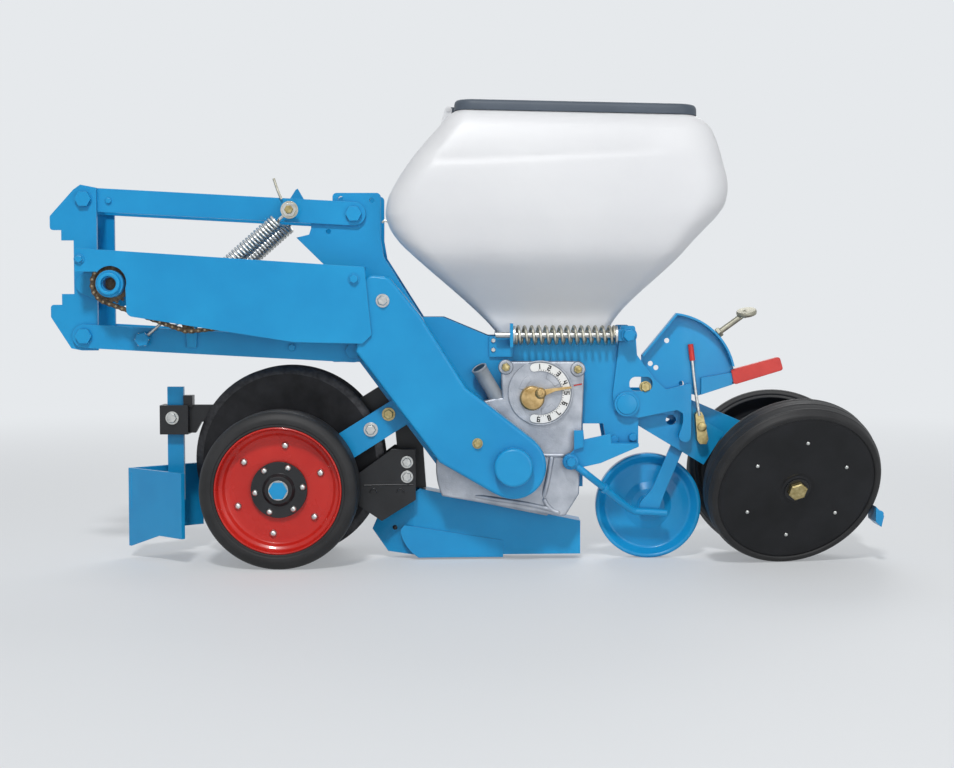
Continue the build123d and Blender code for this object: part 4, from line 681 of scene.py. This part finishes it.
def rounded_ring(front, rear, half, corner, arc=10, long=22, short=10):
    """Rounded rectangles, one row of points for each set of sizes: straight sides and quarter circles."""
    front, rear, half, corner = columns(front, rear, half, corner)
    points = []
    quarters = (
        # corner's side in x, in y, first angle, points on the side that follows
        (1, 1, 0.0, long), (-1, 1, pi / 2, short), (-1, -1, pi, long), (1, -1, 3 * pi / 2, short),
    )
    for index, (right, up, start, count) in enumerate(quarters):
        angle = start + np.linspace(0, pi / 2, arc)
        x0 = np.where(right > 0, rear - corner, front + corner)
        y0 = up * (half - corner)
        points.append(np.stack([x0 + corner * np.cos(angle), y0 + corner * np.sin(angle)], -1))
        next_right, next_up = quarters[(index + 1) % 4][:2]
        x1 = np.where(next_right > 0, rear - corner, front + corner)
        y1 = next_up * (half - corner)
        last = points[-1][:, -1:]
        after = start + pi / 2
        goal = np.stack([x1 + corner * np.cos(after), y1 + corner * np.sin(after)], -1)
        share = np.linspace(0, 1, count + 2)[1:-1][None, :, None]
        points.append(last + share * (goal - last))
    return np.concatenate(points, axis=1)


def tilted(plan, level, fall, front, rear):
    """Plan rows lifted to their level, less the fall to the rear: z = level - fall (x - middle) / length."""
    front, rear, fall, level = columns(front, rear, fall, level)
    height = level - fall * (plan[..., 0] - (front + rear) / 2) / (rear - front)
    return np.concatenate([plan, height[..., None]], axis=-1)


class PLANTER_PG_hopper(PropertyGroup):
    """Moulded hopper and lid."""

    wall: FloatProperty(name="Wall", description="Wall thickness, mm", default=4.0)
    crease: FloatProperty(name="Crease", description="Depth of the step along each side, mm", default=1.8)
    rows: IntProperty(name="Rows", description="Rows of points up the wall", default=72)


class PLANTER_OT_hopper(Operator):
    """Smooth moulded hopper and its slate lid"""

    bl_idname = "planter.hopper"
    bl_label = "Hopper"

    def execute(self, context):
        setup = context.scene.planter_hopper
        self.hopper(setup.wall, setup.crease, setup.rows)
        self.lid()
        return {"FINISHED"}

    def hopper(self, wall, crease, row_count):
        """Outer and inner skin through rows of rounded rectangles, the lid's two ears and the hinge axle."""
        share, front, rear, half, corner, fall = smooth_rows(HOPPER_ROWS, row_count).T
        level = HOPPER_LOW + share * HOPPER_HEIGHT
        outside = tilted(rounded_ring(front, rear, half, corner), level, fall, front, rear)
        outside[..., 1] -= np.sign(outside[..., 1]) * self.step(outside, crease)
        plan = rounded_ring(front + wall, rear - wall, half - wall, corner - wall)
        inside = tilted(plan, level, fall, front, rear)
        shell = skin(np.concatenate([outside, inside[::-1], outside[:1]]))
        ears = both_sides(lambda way: [prism(self.ear(), *sorted((way * 41.0, way * 49.0)))])
        axle_r, axle_half = 4.0, 50.5
        axle = disc((HINGE[0], -axle_half, HINGE[1]), (0, 1, 0), axle_r, 2 * axle_half, 20)
        piece("hopper_shell", [shell, *ears, axle], "hopper_plastic", stands_for=("hopper",), sharp=28.0)

    def lid(self):
        """Cap through rows round the hopper's top row, with its barrel and the strap between them."""
        inset, rise = np.array((
            # inset from the rim's edge, height over the rim
            (6.0, 0.4), (-3.0, 0.4), (-3.2, 2.0), (-3.0, 12.0), (-1.8, 16.5), (1.0, 19.6), (5.0, 20.8),
            (16.0, 20.8), (20.0, 19.6), (24.0, 16.6), (34.0, 16.4), (110.0, 17.2),
        )).T
        _, front, rear, half, _, fall = HOPPER_ROWS[-1]
        plan = rounded_ring(front + inset, rear - inset, half - inset, np.clip(35.0 - inset, 6.0, None))
        rows = tilted(plan, HOPPER_LOW + HOPPER_HEIGHT + rise, np.full(len(rise), fall), front, rear)
        points, quads = skin(rows)
        ring = np.arange(rows.shape[1])
        cap = points, [*quads.tolist(), ring.tolist(), (len(points) - 1 - ring).tolist()]
        barrel_half = 40.5
        barrel = washer((HINGE[0], -barrel_half, HINGE[1]), (0, 1, 0), 4.1, 6.7, 2 * barrel_half, 24)
        strap = prism([(-37.0, 880.6), (-23.5, 880.6), (-23.5, 893.5), (-37.0, 893.5), (-32.5, 890.0),
                       (-32.0, 884.0)], -barrel_half, barrel_half)
        piece("lid_cap", [cap, barrel, strap], "lid_plastic", "hopper_lid", stands_for=("hopper_lid",),
              sharp=40.0)

    @staticmethod
    def step(points, depth):
        """Inward step above a line that rises rearwards along each side, soft at its ends and foot."""
        front, rear, soft_end = -110.0, 400.0, 60.0
        line_x, line_z, line_run, line_rise = -68.0, 768.0, 360.0, 17.0
        foot, top, side_y = 13.0, 872.0, 60.0
        x, y, z = points[..., 0], np.abs(points[..., 1]), points[..., 2]
        line = line_z + (x - line_x) / line_run * line_rise
        ends = np.clip((x - front) / soft_end, 0, 1) * np.clip((rear - x) / soft_end, 0, 1)
        rise = np.clip((z - line) / foot, 0, 1)
        fade = np.clip((top - z) / soft_end, 0, 1)
        return depth * ends * rise ** 2 * (3 - 2 * rise) * fade * (y > side_y)

    @staticmethod
    def ear():
        """Outline of a hinge ear: two circles of the knuckle's radius and their outer tangents."""
        normal = circle(np.linspace(0, 2 * pi, 40, endpoint=False))
        ends = np.array([HINGE, HINGE + (-7.0, -25.0)])
        return ends[np.argmax(normal @ ends.T, axis=1)] + 7.0 * normal


def segment_digit(digit, center, height, turn, y_near, y_far):
    """One plain digit of straight strokes on a face that looks towards -Y, turned about its centre."""
    bars = {
        # stroke: from, to, in units of half the digit's height
        "a": ((-0.5, 1), (0.5, 1)), "b": ((0.5, 1), (0.5, 0)), "c": ((0.5, 0), (0.5, -1)),
        "d": ((-0.5, -1), (0.5, -1)), "e": ((-0.5, 0), (-0.5, -1)), "f": ((-0.5, 1), (-0.5, 0)),
        "g": ((-0.5, 0), (0.5, 0)),
    }
    # strokes of the digits from 1 to 9
    shapes = ("bc", "abged", "abgcd", "fgbc", "afgcd", "afgedc", "abc", "abcdefg", "abcdfg")
    half, thick = height / 2, height * 0.11
    spin = np.array(((cos(turn), -sin(turn)), (sin(turn), cos(turn))))
    made = []
    for name in shapes[digit - 1]:
        start, end = (np.array(point) * half for point in bars[name])
        along = unit(end - start) * thick
        square = np.array((-along[1], along[0]))
        start, end = start - along, end + along
        corners = np.array((start - square, end - square, end + square, start + square))
        made.append(prism(corners @ spin.T + np.asarray(center), y_near, y_far))
    return made


def arc_band(center, inner, outer, first, last, y_near, y_far, steps=40, cap=0):
    """Flat arc in the side view: both radii swept from the first to the last angle, with thickness.

    Where cap is a number, each end is a half circle of that many points: middle + h (n cos s + t sin s).
    """
    ring = circle(np.linspace(first, last, steps))
    turn = np.linspace(0, pi, cap + 2)[1:-1, None]
    middle, half, way = (inner + outer) / 2, (outer - inner) / 2, np.sign(last - first)
    onward = way * np.column_stack([-ring[:, 1], ring[:, 0]])
    end = middle * ring[-1] + half * (ring[-1] * np.cos(turn) + onward[-1] * np.sin(turn))
    start = middle * ring[0] - half * (ring[0] * np.cos(turn) + onward[0] * np.sin(turn))
    outline = np.vstack([outer * ring, end, inner * ring[::-1], start])
    return prism(np.asarray(center) + outline, y_near, y_far)


def rib(route, width, y_foot, y_top, sides=7):
    """Cast rib: a low half-round section carried along an (x, z) route on a face that looks towards -Y."""
    route = np.asarray(route, float)
    along = np.gradient(route, axis=0)
    along /= np.linalg.norm(along, axis=1)[:, None]
    square = np.column_stack([-along[:, 1], along[:, 0]])
    end_height, end_width = 0.15, 0.4
    angle = np.linspace(0, pi, sides)
    across_mm = width / 2 * np.cos(angle)
    rise = (y_top - y_foot) * np.sin(angle)
    from_end = np.minimum(np.arange(len(route)), np.arange(len(route))[::-1])
    taper = np.minimum(1, from_end / 2 + end_height)
    share = (end_width + (1 - end_width) * taper)[:, None, None]
    plan = route[:, None] + across_mm[None, :, None] * square[:, None] * share
    depth = y_foot + rise[None] * taper[:, None]
    return skin(np.stack([plan[..., 0], depth, plan[..., 1]], -1), False)


def curve_through(points, count=24):
    """Smooth line through points: a Catmull-Rom spline of each coordinate."""
    points = np.asarray(points, float)
    padded = np.vstack([2 * points[0] - points[1], points, 2 * points[-1] - points[-2]])
    place = np.linspace(0, len(points) - 1, count)
    index = np.clip(place.astype(int), 0, len(points) - 2)
    t = (place - index)[:, None]
    p0, p1, p2, p3 = (padded[index + shift] for shift in range(4))
    return 0.5 * (2 * p1 + (p2 - p0) * t + (2 * p0 - 5 * p1 + 4 * p2 - p3) * t ** 2
                  + (3 * p1 - p0 - 3 * p2 + p3) * t ** 3)


class PLANTER_PG_meter(PropertyGroup):
    """Dial and casting of the seed meter."""

    numbers: IntProperty(name="Numbers", description="Plain numbers round the dial", default=9, min=1, max=9)
    digit: FloatProperty(name="Digit height", description="Height of the dial's numbers, mm", default=8.5)


class PLANTER_OT_meter(Operator):
    """Dial marks, cast ribs, studs and the selector of the seed meter"""

    bl_idname = "planter.meter"
    bl_label = "Seed meter"

    def execute(self, context):
        setup = context.scene.planter_meter
        dial = np.array((141.0, 336.0))
        self.dial(setup, dial)
        self.casting(dial)
        self.selector(dial)
        self.spout()
        tick = prism([(206, 349), (222, 352), (222, 354.5), (206, 351.5)], -95.2, -94.0)
        piece("dial_tick", [tick], "red_paint")
        return {"FINISHED"}

    def dial(self, setup, dial):
        """White band of the dial, its numbers and four short marks to each number."""
        foot, face, end, last_number = -98.0, -101.2, radians(104), radians(94)
        band = arc_band(dial, 43.0, 58.5, end, -end, face, foot, 72, 12)
        piece("dial_band", [band], "dial_plastic", stands_for=("meter_dial",))
        marks = []
        for number, angle in enumerate(np.linspace(last_number, -last_number, setup.numbers), 1):
            place = dial + 51.5 * np.array((cos(angle), sin(angle)))
            marks += segment_digit(number, place, setup.digit, angle - pi / 2, face - 0.7, face)
        for angle in np.linspace(last_number, -last_number, 4 * setup.numbers - 3):
            marks.append(arc_band(dial, 43.6, 45.6, angle - 0.012, angle + 0.012, face - 0.5, face, 2))
        piece("dial_marks", marks, "black_paint", sharp=20.0)

    def casting(self, dial):
        """Rings round the dial, studs with nuts, and ribs over the cover."""
        rings = [arc_band(dial, 60.5, 63.0, radians(110), radians(-112), -100.0, -97.0, 60)]
        rings += [arc_band(dial, 30.0, 41.5, t, t + 0.75, -99.0, -97.0, 12) for t in (-1.5, 0.45, 2.2)]
        # x and z of the cover's studs
        places = ((74.0, 386.0), (214.0, 382.0))
        stud = [(0, 0, 0), (15, 0, 0), (13.5, 5, 2), (0, 5, 0)]
        studs = [turned(stud, (x, -93.0, z), LEFT, 32) for x, z in places]
        routes = (
            # a line of (x, z) points on the cover, width
            (((164, 214), (161, 196), (157, 172), (148, 131)), 11.0),
            (((148, 131), (154, 118), (166, 106), (180, 101)), 9.0),
            (((14, 134), (70, 126), (124, 117), (176, 104)), 9.0),
            (((136, 215), (164, 214), (192, 214)), 8.0),
        )
        ribs = [rib(curve_through(route), width, -93.6, -97.4) for route, width in routes]
        piece("meter_casting", [*rings, *studs, *ribs], "meter_cast")
        nuts = [hex_head((x, -98.0, z), LEFT, 15.0, 7.0, 0.3) for x, z in places]
        nuts += [lathe([(0, 0), (4.2, 0), (4.2, 4), (0, 5)], (x, -105.0, z), LEFT, 16) for x, z in places]
        piece("meter_nuts", nuts, "latch_zinc")

    def selector(self, dial):
        """Turned brass knob, its clamp screw and a pointer that narrows to the dial."""
        x, z = dial
        knob = turned([(0, 0, 0), (24, 0, 0), (24, 3, 1), (22.5, 4.5, 1), (22.5, 12.5, 2.5), (0, 14, 0)],
                      (x - 16, -98.0, z - 10), LEFT, 48)
        boss = turned([(0, 0, 0), (11, 0, 0), (11, 15, 2.5), (7, 19, 2), (0, 19, 0)],
                      (x, -98.0, z), LEFT, 32)
        pointer = prism([(x + 4, z + 7), (170, 346), (200, 349.0), (202, 347.2), (200, 345.2), (170, 340),
                         (x + 6, z - 6)], -106.5, -102.2)
        screw = hex_head((x - 1, -117.0, z + 1), LEFT, 10.0, 4.5, 0.5)
        piece("selector_turned", [knob, boss, pointer, screw], "selector_brass",
              stands_for=("selector_knob",))

    def spout(self):
        """Bent vacuum spout: a round bar along its line and a turned lip at its mouth.

        The bore is not hollowed: a black disc in the mouth is painted shade of it.
        """
        line = curve_through([(76, -79, 292), (52, -79, 333), (34, -82, 363), (22, -90, 384)], 32)
        mouth, out = line[-1], unit(line[-1] - line[-2])
        bore_r = 12.2
        lip = turned([(bore_r, -3, 0), (15.6, -3, 0), (15.9, 0.8, 1), (14, 2, 1), (bore_r, 0.6, 0),
                      (bore_r, -3, 0)], mouth, out, 48)
        piece("spout_tube", [tube(line, 15.0, 36), lip], "spout_plastic", stands_for=("vacuum_spout",))
        # Painted shade: a black disc in the mouth stands for the dark inside of the bore
        piece("spout_bore_shade", [disc(mouth, out, bore_r, 0.4, 40)], "black_paint")


class PLANTER_PG_fittings(PropertyGroup):
    """Fasteners and small fittings."""

    head_share: FloatProperty(name="Head", description="Height of a hexagon head per width across its flats",
                              default=0.42)
    washer_mm: FloatProperty(name="Washer", description="Washer thickness, mm", default=2.2)


class PLANTER_OT_fittings(Operator):
    """Bolts, levers, clips and brackets on both sides"""

    bl_idname = "planter.fittings"
    bl_label = "Fittings"

    def execute(self, context):
        self.bolts(context.scene.planter_fittings)
        self.head_fittings()
        self.rear_fittings()
        self.shoe_wings()
        return {"FINISHED"}

    def bolts(self, setup):
        """Hexagon heads on washers, one piece for each finish."""
        left_bolts = (
            # x, face y, z, width across flats, washer radius, finish
            (-162.0, -146.0, 515.0, 17.0, 13.0, "zinc_steel"),
            (19.0, -146.0, 242.0, 14.0, 10.0, "latch_zinc"),
            (-216.0, -152.0, 556.0, 15.0, 11.0, "blue_paint"),
            (-738.0, -152.0, 594.0, 13.0, 10.0, "blue_paint"),
            (-342.0, -88.0, 424.0, 13.0, 0.0, "blue_paint"),
            (-699.0, -72.0, 709.0, 11.0, 0.0, "blue_paint"),
            (200.0, -117.0, 203.0, 17.0, 12.0, "blue_paint"),
        )
        both_bolts = (
            (-120.0, -56.0, 197.0, 16.0, 12.0, "zinc_steel"),
            (-120.0, -56.0, 168.0, 16.0, 12.0, "zinc_steel"),
            (50.0, -70.0, 437.0, 8.0, 0.0, "zinc_steel"),
            (50.0, -70.0, 419.0, 8.0, 0.0, "zinc_steel"),
            (288.0, -64.0, 243.0, 15.0, 0.0, "blue_paint"),
            (324.0, -64.0, 247.0, 15.0, 0.0, "blue_paint"),
            (313.0, -100.0, 448.0, 22.0, 15.0, "blue_paint"),
            (-190.0, -74.0, 263.0, 18.0, 14.0, "zinc_steel"),
            (-155.0, -74.0, 293.0, 17.0, 13.0, "latch_zinc"),
            (-588.0, -26.0, 282.0, 18.0, 13.0, "zinc_steel"),
            (-344.0, -108.0, 690.0, 15.0, 0.0, "latch_zinc"),
        )
        rows = [(*row, -1) for row in left_bolts]
        rows += [(*row, way) for row in both_bolts for way in (-1, 1)]
        groups = {}
        for x, face, z, flats, ring, coat, way in rows:
            axis = np.array((0, way, 0))
            place = np.array((x, -way * face, z))
            made = groups.setdefault(coat, [])
            if ring:
                made.append(disc(place, axis, ring, setup.washer_mm))
                place = place + axis * setup.washer_mm
            # the x of each bolt gives its head a turn of its own
            made.append(hex_head(place, axis, flats, flats * setup.head_share, x * 0.7))
        right = (0, 1, 0)
        groups["zinc_steel"] += [hex_head(place, right, 10.0, 5.0)
                                 for place in ring_of(6, 62.0, (75.0, 80.0, 190.0), right, radians(15))]
        for coat, parts in groups.items():
            piece(f"bolts_{coat}", parts, coat)

    def head_fittings(self):
        """Spring washers, the linch pin, the shaft's collar, the cleaner's stop and the guard's marks."""
        zinc = both_sides(lambda way: [washer((-344.0, way * 98.2, 690.0), (0, way, 0), 7.2, 17, 2.4, 40)])
        pin = curve_through([(-377, -76, 752), (-375, -76, 746), (-369, -76, 728), (-362, -76, 712)], 20)
        clip = curve_through([(-168, -58, 667), (-163, -58, 671), (-158, -58, 670), (-153, -58, 668)], 16)
        zinc += [tube(pin, 2.6, 12), tube(clip, 2.0, 8)]
        piece("head_zinc_fittings", zinc, "spring_zinc")
        caps = both_sides(lambda way: [hex_head((-630.0, way * 100.4, 440.0), (0, way, 0), 26.0, 9.0, 0.2)])
        ear = prism([(-368, 712), (-350, 740), (-346, 742), (-330, 714)], 64.5, 71.5)
        collar = turned([(14.5, 0, 0), (14.5, 9, 1.5), (21, 9, 2), (22.5, 0, 0), (14.5, 0, 0)],
                        (-680.0, -158.0, 547.0), LEFT, 48)
        piece("head_blue_fittings", [*caps, ear, collar], "blue_paint")
        stop = prism([(-568, 303), (-550, 303), (-550, 326), (-568, 326)], -13.0, 13.0)

        def guard_marks(way):
            """Two stamped half loops and a fold across the guard."""
            face = way * 56.0
            loops = []
            for x in (-186.0, -133.0):
                wide, high = (circle(np.linspace(0, pi, 14)) * (6.5, 8.0) + (x, 136.0)).T
                loops.append(tube(np.column_stack([wide, np.full(len(wide), face), high]), 1.7, 8))
            fold = [(-205.0, face, 151.0), (-160.0, face, 152.0), (-108.0, face, 152.0)]
            return [*loops, tube(fold, 1.8, 8)]

        piece("guard_fittings", [stop, *both_sides(guard_marks)], "black_paint")

    def shoe_wings(self):
        """Wings of the seed shoe: each stands off its side by b = 9 (1 - s)^1.5 (1 - 0.8 t^2) + 1 mm.

        s runs from the curved front edge to the rear and t from the sole to the top.
        """
        shoe_half, sunk = 28.0, 27.0
        edge = np.array((
            # height share, front x
            (0.0, -98.0), (0.15, -111.0), (0.35, -122.0), (0.6, -131.0), (0.85, -135.0), (1.0, -127.0),
        ))
        s, t = np.meshgrid(np.linspace(0, 1, 25), np.linspace(0, 1, 17), indexing="ij")
        front = np.interp(t, edge[:, 0], edge[:, 1])
        x = front + s * (70.0 - front)
        z = 4.0 + t * (64.0 - 30.0 * s)

        def wing(way):
            """Rings of outer and inner points along s, closed at both ends by a ring drawn onto the side."""
            proud = shoe_half + 1.0 + 9.0 * (1 - s) ** 1.5 * (1 - 0.8 * t ** 2)
            outer = np.stack([x, way * proud, z], -1)
            inner = np.stack([x, np.full_like(x, way * sunk), z], -1)
            rings = np.concatenate([outer, inner[:, ::-1]], axis=1)
            shut = np.concatenate([inner, inner[:, ::-1]], axis=1)
            return [skin(np.concatenate([shut[:1], rings, shut[-1:]]))]

        piece("shoe_wings", both_sides(wing), "blue_paint", sharp=50.0)
        screws = both_sides(lambda way: [
            dome_head((-146.0, way * 17.1, 62.0), (-0.275, way * 0.961, 0), 5.0, 3.0)])
        piece("shoe_screws", screws, "black_paint")

    def rear_fittings(self):
        """Depth crank with its disc knob, latch with a red sleeve, slot bolt, clevis and the tie rod."""
        foot, tip = np.array((486.2, -74.0, 450.0)), np.array((544.0, -74.0, 492.0))
        along = unit(tip - foot)
        rod = [
            disc(foot, along, 5.6, 66, 24),
            hex_head(foot + along * 2.0, along, 18.0, 8.0),
            turned([(0, -4.5, 0), (19, -4.5, 2), (20, 0, 2), (19, 4.5, 2), (0, 4.5, 0)], tip,
                   (-0.16, -0.30, 0.94), 40),
            lathe([(0, 0), (8, 0), (7, 10), (0, 10)], tip - along * 9.0, along, 24),
        ]
        piece("depth_crank_rod", rod, "crank_zinc", stands_for=("depth_crank",))
        latch = [
            disc((348.0, -63.0, 346.0), LEFT, 11.5, 6),
            hex_head((348.0, -69.0, 346.0), LEFT, 17.0, 6.5, 0.4),
            prism([(446, 292), (450, 297), (458, 297), (462, 290), (472, 244), (468, 234), (456, 234),
                   (450, 242)], -72.0, -48.0),
            turned([(0, 0, 0), (9, 0, 1), (9, 5, 2), (0, 6, 0)], (459.0, -72.0, 268.0), LEFT, 24),
        ]
        piece("latch_block", latch, "latch_zinc", stands_for=("latch_lever",))
        stem = curve_through([(454, -71, 290), (450, -71, 312), (443, -71, 362), (437, -71, 420)], 24)
        piece("latch_stem", [tube(stem, 3.2, 12)], "zinc_steel")
        sleeve = curve_through([(439.5, -71, 398), (437.5, -71, 414), (435.5, -71, 430)], 12)
        piece("latch_sleeve", [tube(sleeve, 5.4, 16)], "grip_plastic")
        bend = (268.0, -80.0, 148.0)
        route = curve_through([(200, -108, 203), (216, -108, 190.5), (232, -108, 178), bend, (300, -58, 120),
                               (327, -43, 100), (341, -41, 97), (360, -41, 96), (395, -41, 94)], 72)
        collar = lathe([(7, -4), (9.6, -4), (9.6, 4), (7, 4), (7, -4)], bend, route[32] - route[29], 32)
        piece("tie_rod_bar", [tube(route, 7.0, 20), collar], "blue_paint", stands_for=("tie_rod",))
        clevis = [(289, 438), (306, 436), (306, 460), (289, 458)]
        blue = both_sides(lambda way: [prism(clevis, *sorted((way * 75.0, way * 97.0)))])
        blue += [
            turned([(6, 0, 0), (15, 0, 2), (15, 11, 2), (6, 11, 0), (6, 0, 0)],
                   (200.0, -106.0, 203.0), LEFT, 40),
            prism([(206, 226), (224, 232), (224, 264), (206, 264)], -113.0, -106.0),
            turned([(0, 0, 0), (20, 0, 0), (20, 2.5, 1.5), (0, 3.5, 0)], (311.0, -80.0, 313.0), LEFT, 48),
        ]
        piece("rear_blue_fittings", blue, "blue_paint")


class PLANTER_PG_stage(PropertyGroup):
    """Camera, floor and lights."""

    camera_x: FloatProperty(name="Camera X", description="Camera place along the unit", default=0.018,
                            unit="LENGTH")
    camera_y: FloatProperty(name="Camera Y", description="Camera place across the unit", default=-3.2,
                            unit="LENGTH")
    camera_z: FloatProperty(name="Camera Z", description="Camera height", default=0.516, unit="LENGTH")
    camera_pitch: FloatProperty(name="Pitch", description="Camera tilt below the horizon", subtype="ANGLE",
                                default=radians(3))
    lens: FloatProperty(name="Lens", description="Focal length on a 36 mm sensor, in mm", default=60.38)
    floor_color: FloatVectorProperty(name="Floor", description="Floor colour", subtype="COLOR", size=4,
                                     default=linear("#E2E4E6"))
    backdrop_color: FloatVectorProperty(name="Backdrop", description="Colour behind the unit",
                                        subtype="COLOR", size=4, default=linear("#E6E9EC"))
    fade_start: FloatProperty(name="Fade start", description="Distance at which the floor starts to fade",
                              default=1.2, unit="LENGTH")
    fade_end: FloatProperty(name="Fade end", description="Distance at which the floor is plain backdrop",
                            default=4.5, unit="LENGTH")
    world_strength: FloatProperty(name="Sky", description="Strength of the even light", default=0.32)


class PLANTER_OT_finishes(Operator):
    """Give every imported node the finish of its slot"""

    bl_idname = "planter.finishes"
    bl_label = "Finishes"

    def execute(self, context):
        FINISHES.update(make_finishes())
        for entry in frame["record"]["subparts"]:
            node = frame["nodes"][entry["node"]]
            node.data.materials.clear()
            node.data.materials.append(FINISHES[entry["material_slot"]])
        return {"FINISHED"}


class PLANTER_OT_stage(Operator):
    """Floor, soft lamps, even sky light and the camera"""

    bl_idname = "planter.stage"
    bl_label = "Stage"

    def execute(self, context):
        setup = context.scene.planter_stage
        scene = context.scene
        reach = 40.0
        mesh = bpy.data.meshes.new("studio_floor")
        corners = [(-reach, -reach, 0), (reach, -reach, 0), (reach, reach, 0), (-reach, reach, 0)]
        mesh.from_pydata(corners, [], [(0, 1, 2, 3)])
        mesh.materials.append(self.floor_finish(setup))
        floor = bpy.data.objects.new("studio_floor", mesh)
        scene.collection.objects.link(floor)

        lamp_table = (
            # name, place, aim, size, watts
            ("key_lamp", (-0.5, -4.3, 5.1), (0.0, 0.0, 0.4), 0.65, 198.0),
            ("fill_lamp", (1.9, -3.6, 0.9), (0.1, 0.0, 0.5), 2.2, 30.0),
            ("rim_lamp", (0.6, 3.0, 2.8), (0.0, 0.0, 0.5), 2.0, 40.0),
        )
        for name, place, aim, size, watts in lamp_table:
            data = bpy.data.lights.new(name, "AREA")
            data.size = size
            data.energy = watts
            lamp = bpy.data.objects.new(name, data)
            lamp.location = place
            lamp.rotation_euler = (Vector(aim) - Vector(place)).to_track_quat("-Z", "Y").to_euler()
            scene.collection.objects.link(lamp)

        world = bpy.data.worlds.new("even_sky")
        world.use_nodes = True
        tree = world.node_tree
        light = add_node(tree, "ShaderNodeBackground",
                         {"Color": linear("#F4F6F8"), "Strength": setup.world_strength}).outputs[0]
        shown = add_node(tree, "ShaderNodeBackground", {"Color": setup.backdrop_color, "Strength": 1.0})
        sky = add_node(tree, "ShaderNodeMixShader", {0: self.seen(tree), 1: light, 2: shown.outputs[0]})
        tree.links.new(sky.outputs[0], tree.nodes["World Output"].inputs["Surface"])
        scene.world = world

        data = bpy.data.cameras.new("photo_camera")
        data.lens = setup.lens
        data.sensor_width = 36.0
        camera = bpy.data.objects.new("photo_camera", data)
        camera.location = (setup.camera_x, setup.camera_y, setup.camera_z)
        camera.rotation_euler = (pi / 2 - setup.camera_pitch, 0, 0)
        scene.collection.objects.link(camera)
        scene.camera = camera
        scene.view_settings.view_transform = "Standard"
        return {"FINISHED"}

    @staticmethod
    def seen(tree):
        """One where a ray comes from the camera, a mirror or glass, nought where it only carries light."""
        path = add_node(tree, "ShaderNodeLightPath").outputs
        either = add_node(tree, "ShaderNodeMath", {0: path["Is Camera Ray"], 1: path["Is Glossy Ray"]},
                          operation="MAXIMUM")
        return add_node(tree, "ShaderNodeMath", {0: either.outputs[0], 1: path["Is Transmission Ray"]},
                        operation="MAXIMUM").outputs[0]

    def floor_finish(self, setup):
        """Matt pale floor that takes the shadow near the unit and fades into the backdrop further off."""
        made = bpy.data.materials.new("pale_studio_floor")
        made.use_nodes = True
        tree = made.node_tree
        matt = tree.nodes["Principled BSDF"]
        matt.inputs["Base Color"].default_value = setup.floor_color
        matt.inputs["Roughness"].default_value = 0.6
        place = add_node(tree, "ShaderNodeTexCoord").outputs["Object"]
        away = add_node(tree, "ShaderNodeVectorMath", {0: place}, operation="LENGTH").outputs["Value"]
        fade = add_node(tree, "ShaderNodeMapRange",
                        {"Value": away, "From Min": setup.fade_start, "From Max": setup.fade_end,
                         "To Min": 0.35}, interpolation_type="SMOOTHSTEP").outputs["Result"]
        share = add_node(tree, "ShaderNodeMath", {0: fade, 1: self.seen(tree)}, operation="MULTIPLY")
        plain = add_node(tree, "ShaderNodeEmission", {"Color": setup.backdrop_color, "Strength": 1.0})
        mixed = add_node(tree, "ShaderNodeMixShader",
                         {0: share.outputs[0], 1: matt.outputs[0], 2: plain.outputs[0]})
        tree.links.new(mixed.outputs[0], tree.nodes["Material Output"].inputs["Surface"])
        return made


class PLANTER_PT_panel(Panel):
    """Sidebar list of the unit's pieces"""

    bl_label = "Planter row unit"
    bl_idname = "PLANTER_PT_panel"
    bl_space_type = "VIEW_3D"
    bl_region_type = "UI"
    bl_category = "Planter"

    def draw(self, context):
        for operator in OPERATORS:
            self.layout.operator(operator.bl_idname)


OPERATORS = (PLANTER_OT_finishes, PLANTER_OT_wheels, PLANTER_OT_springs, PLANTER_OT_chain, PLANTER_OT_hopper,
             PLANTER_OT_meter, PLANTER_OT_fittings, PLANTER_OT_stage)
SETTINGS = {
    # scene property: its group of settings
    "planter_wheels": PLANTER_PG_wheels,
    "planter_springs": PLANTER_PG_springs,
    "planter_chain": PLANTER_PG_chain,
    "planter_hopper": PLANTER_PG_hopper,
    "planter_meter": PLANTER_PG_meter,
    "planter_fittings": PLANTER_PG_fittings,
    "planter_stage": PLANTER_PG_stage,
}
CLASSES = (*SETTINGS.values(), *OPERATORS, PLANTER_PT_panel)


def register():
    """Add the unit's classes and settings."""
    for made in CLASSES:
        bpy.utils.register_class(made)
    for name, group in SETTINGS.items():
        setattr(bpy.types.Scene, name, PointerProperty(type=group))


def unregister():
    """Take the unit's classes and settings away."""
    for name in SETTINGS:
        delattr(bpy.types.Scene, name)
    for made in reversed(CLASSES):
        bpy.utils.unregister_class(made)


def main():
    """Build every piece and the stage."""
    register()
    for operator in OPERATORS:
        group, name = operator.bl_idname.split(".")
        getattr(getattr(bpy.ops, group), name)()


if __name__ == "__main__":
    main()
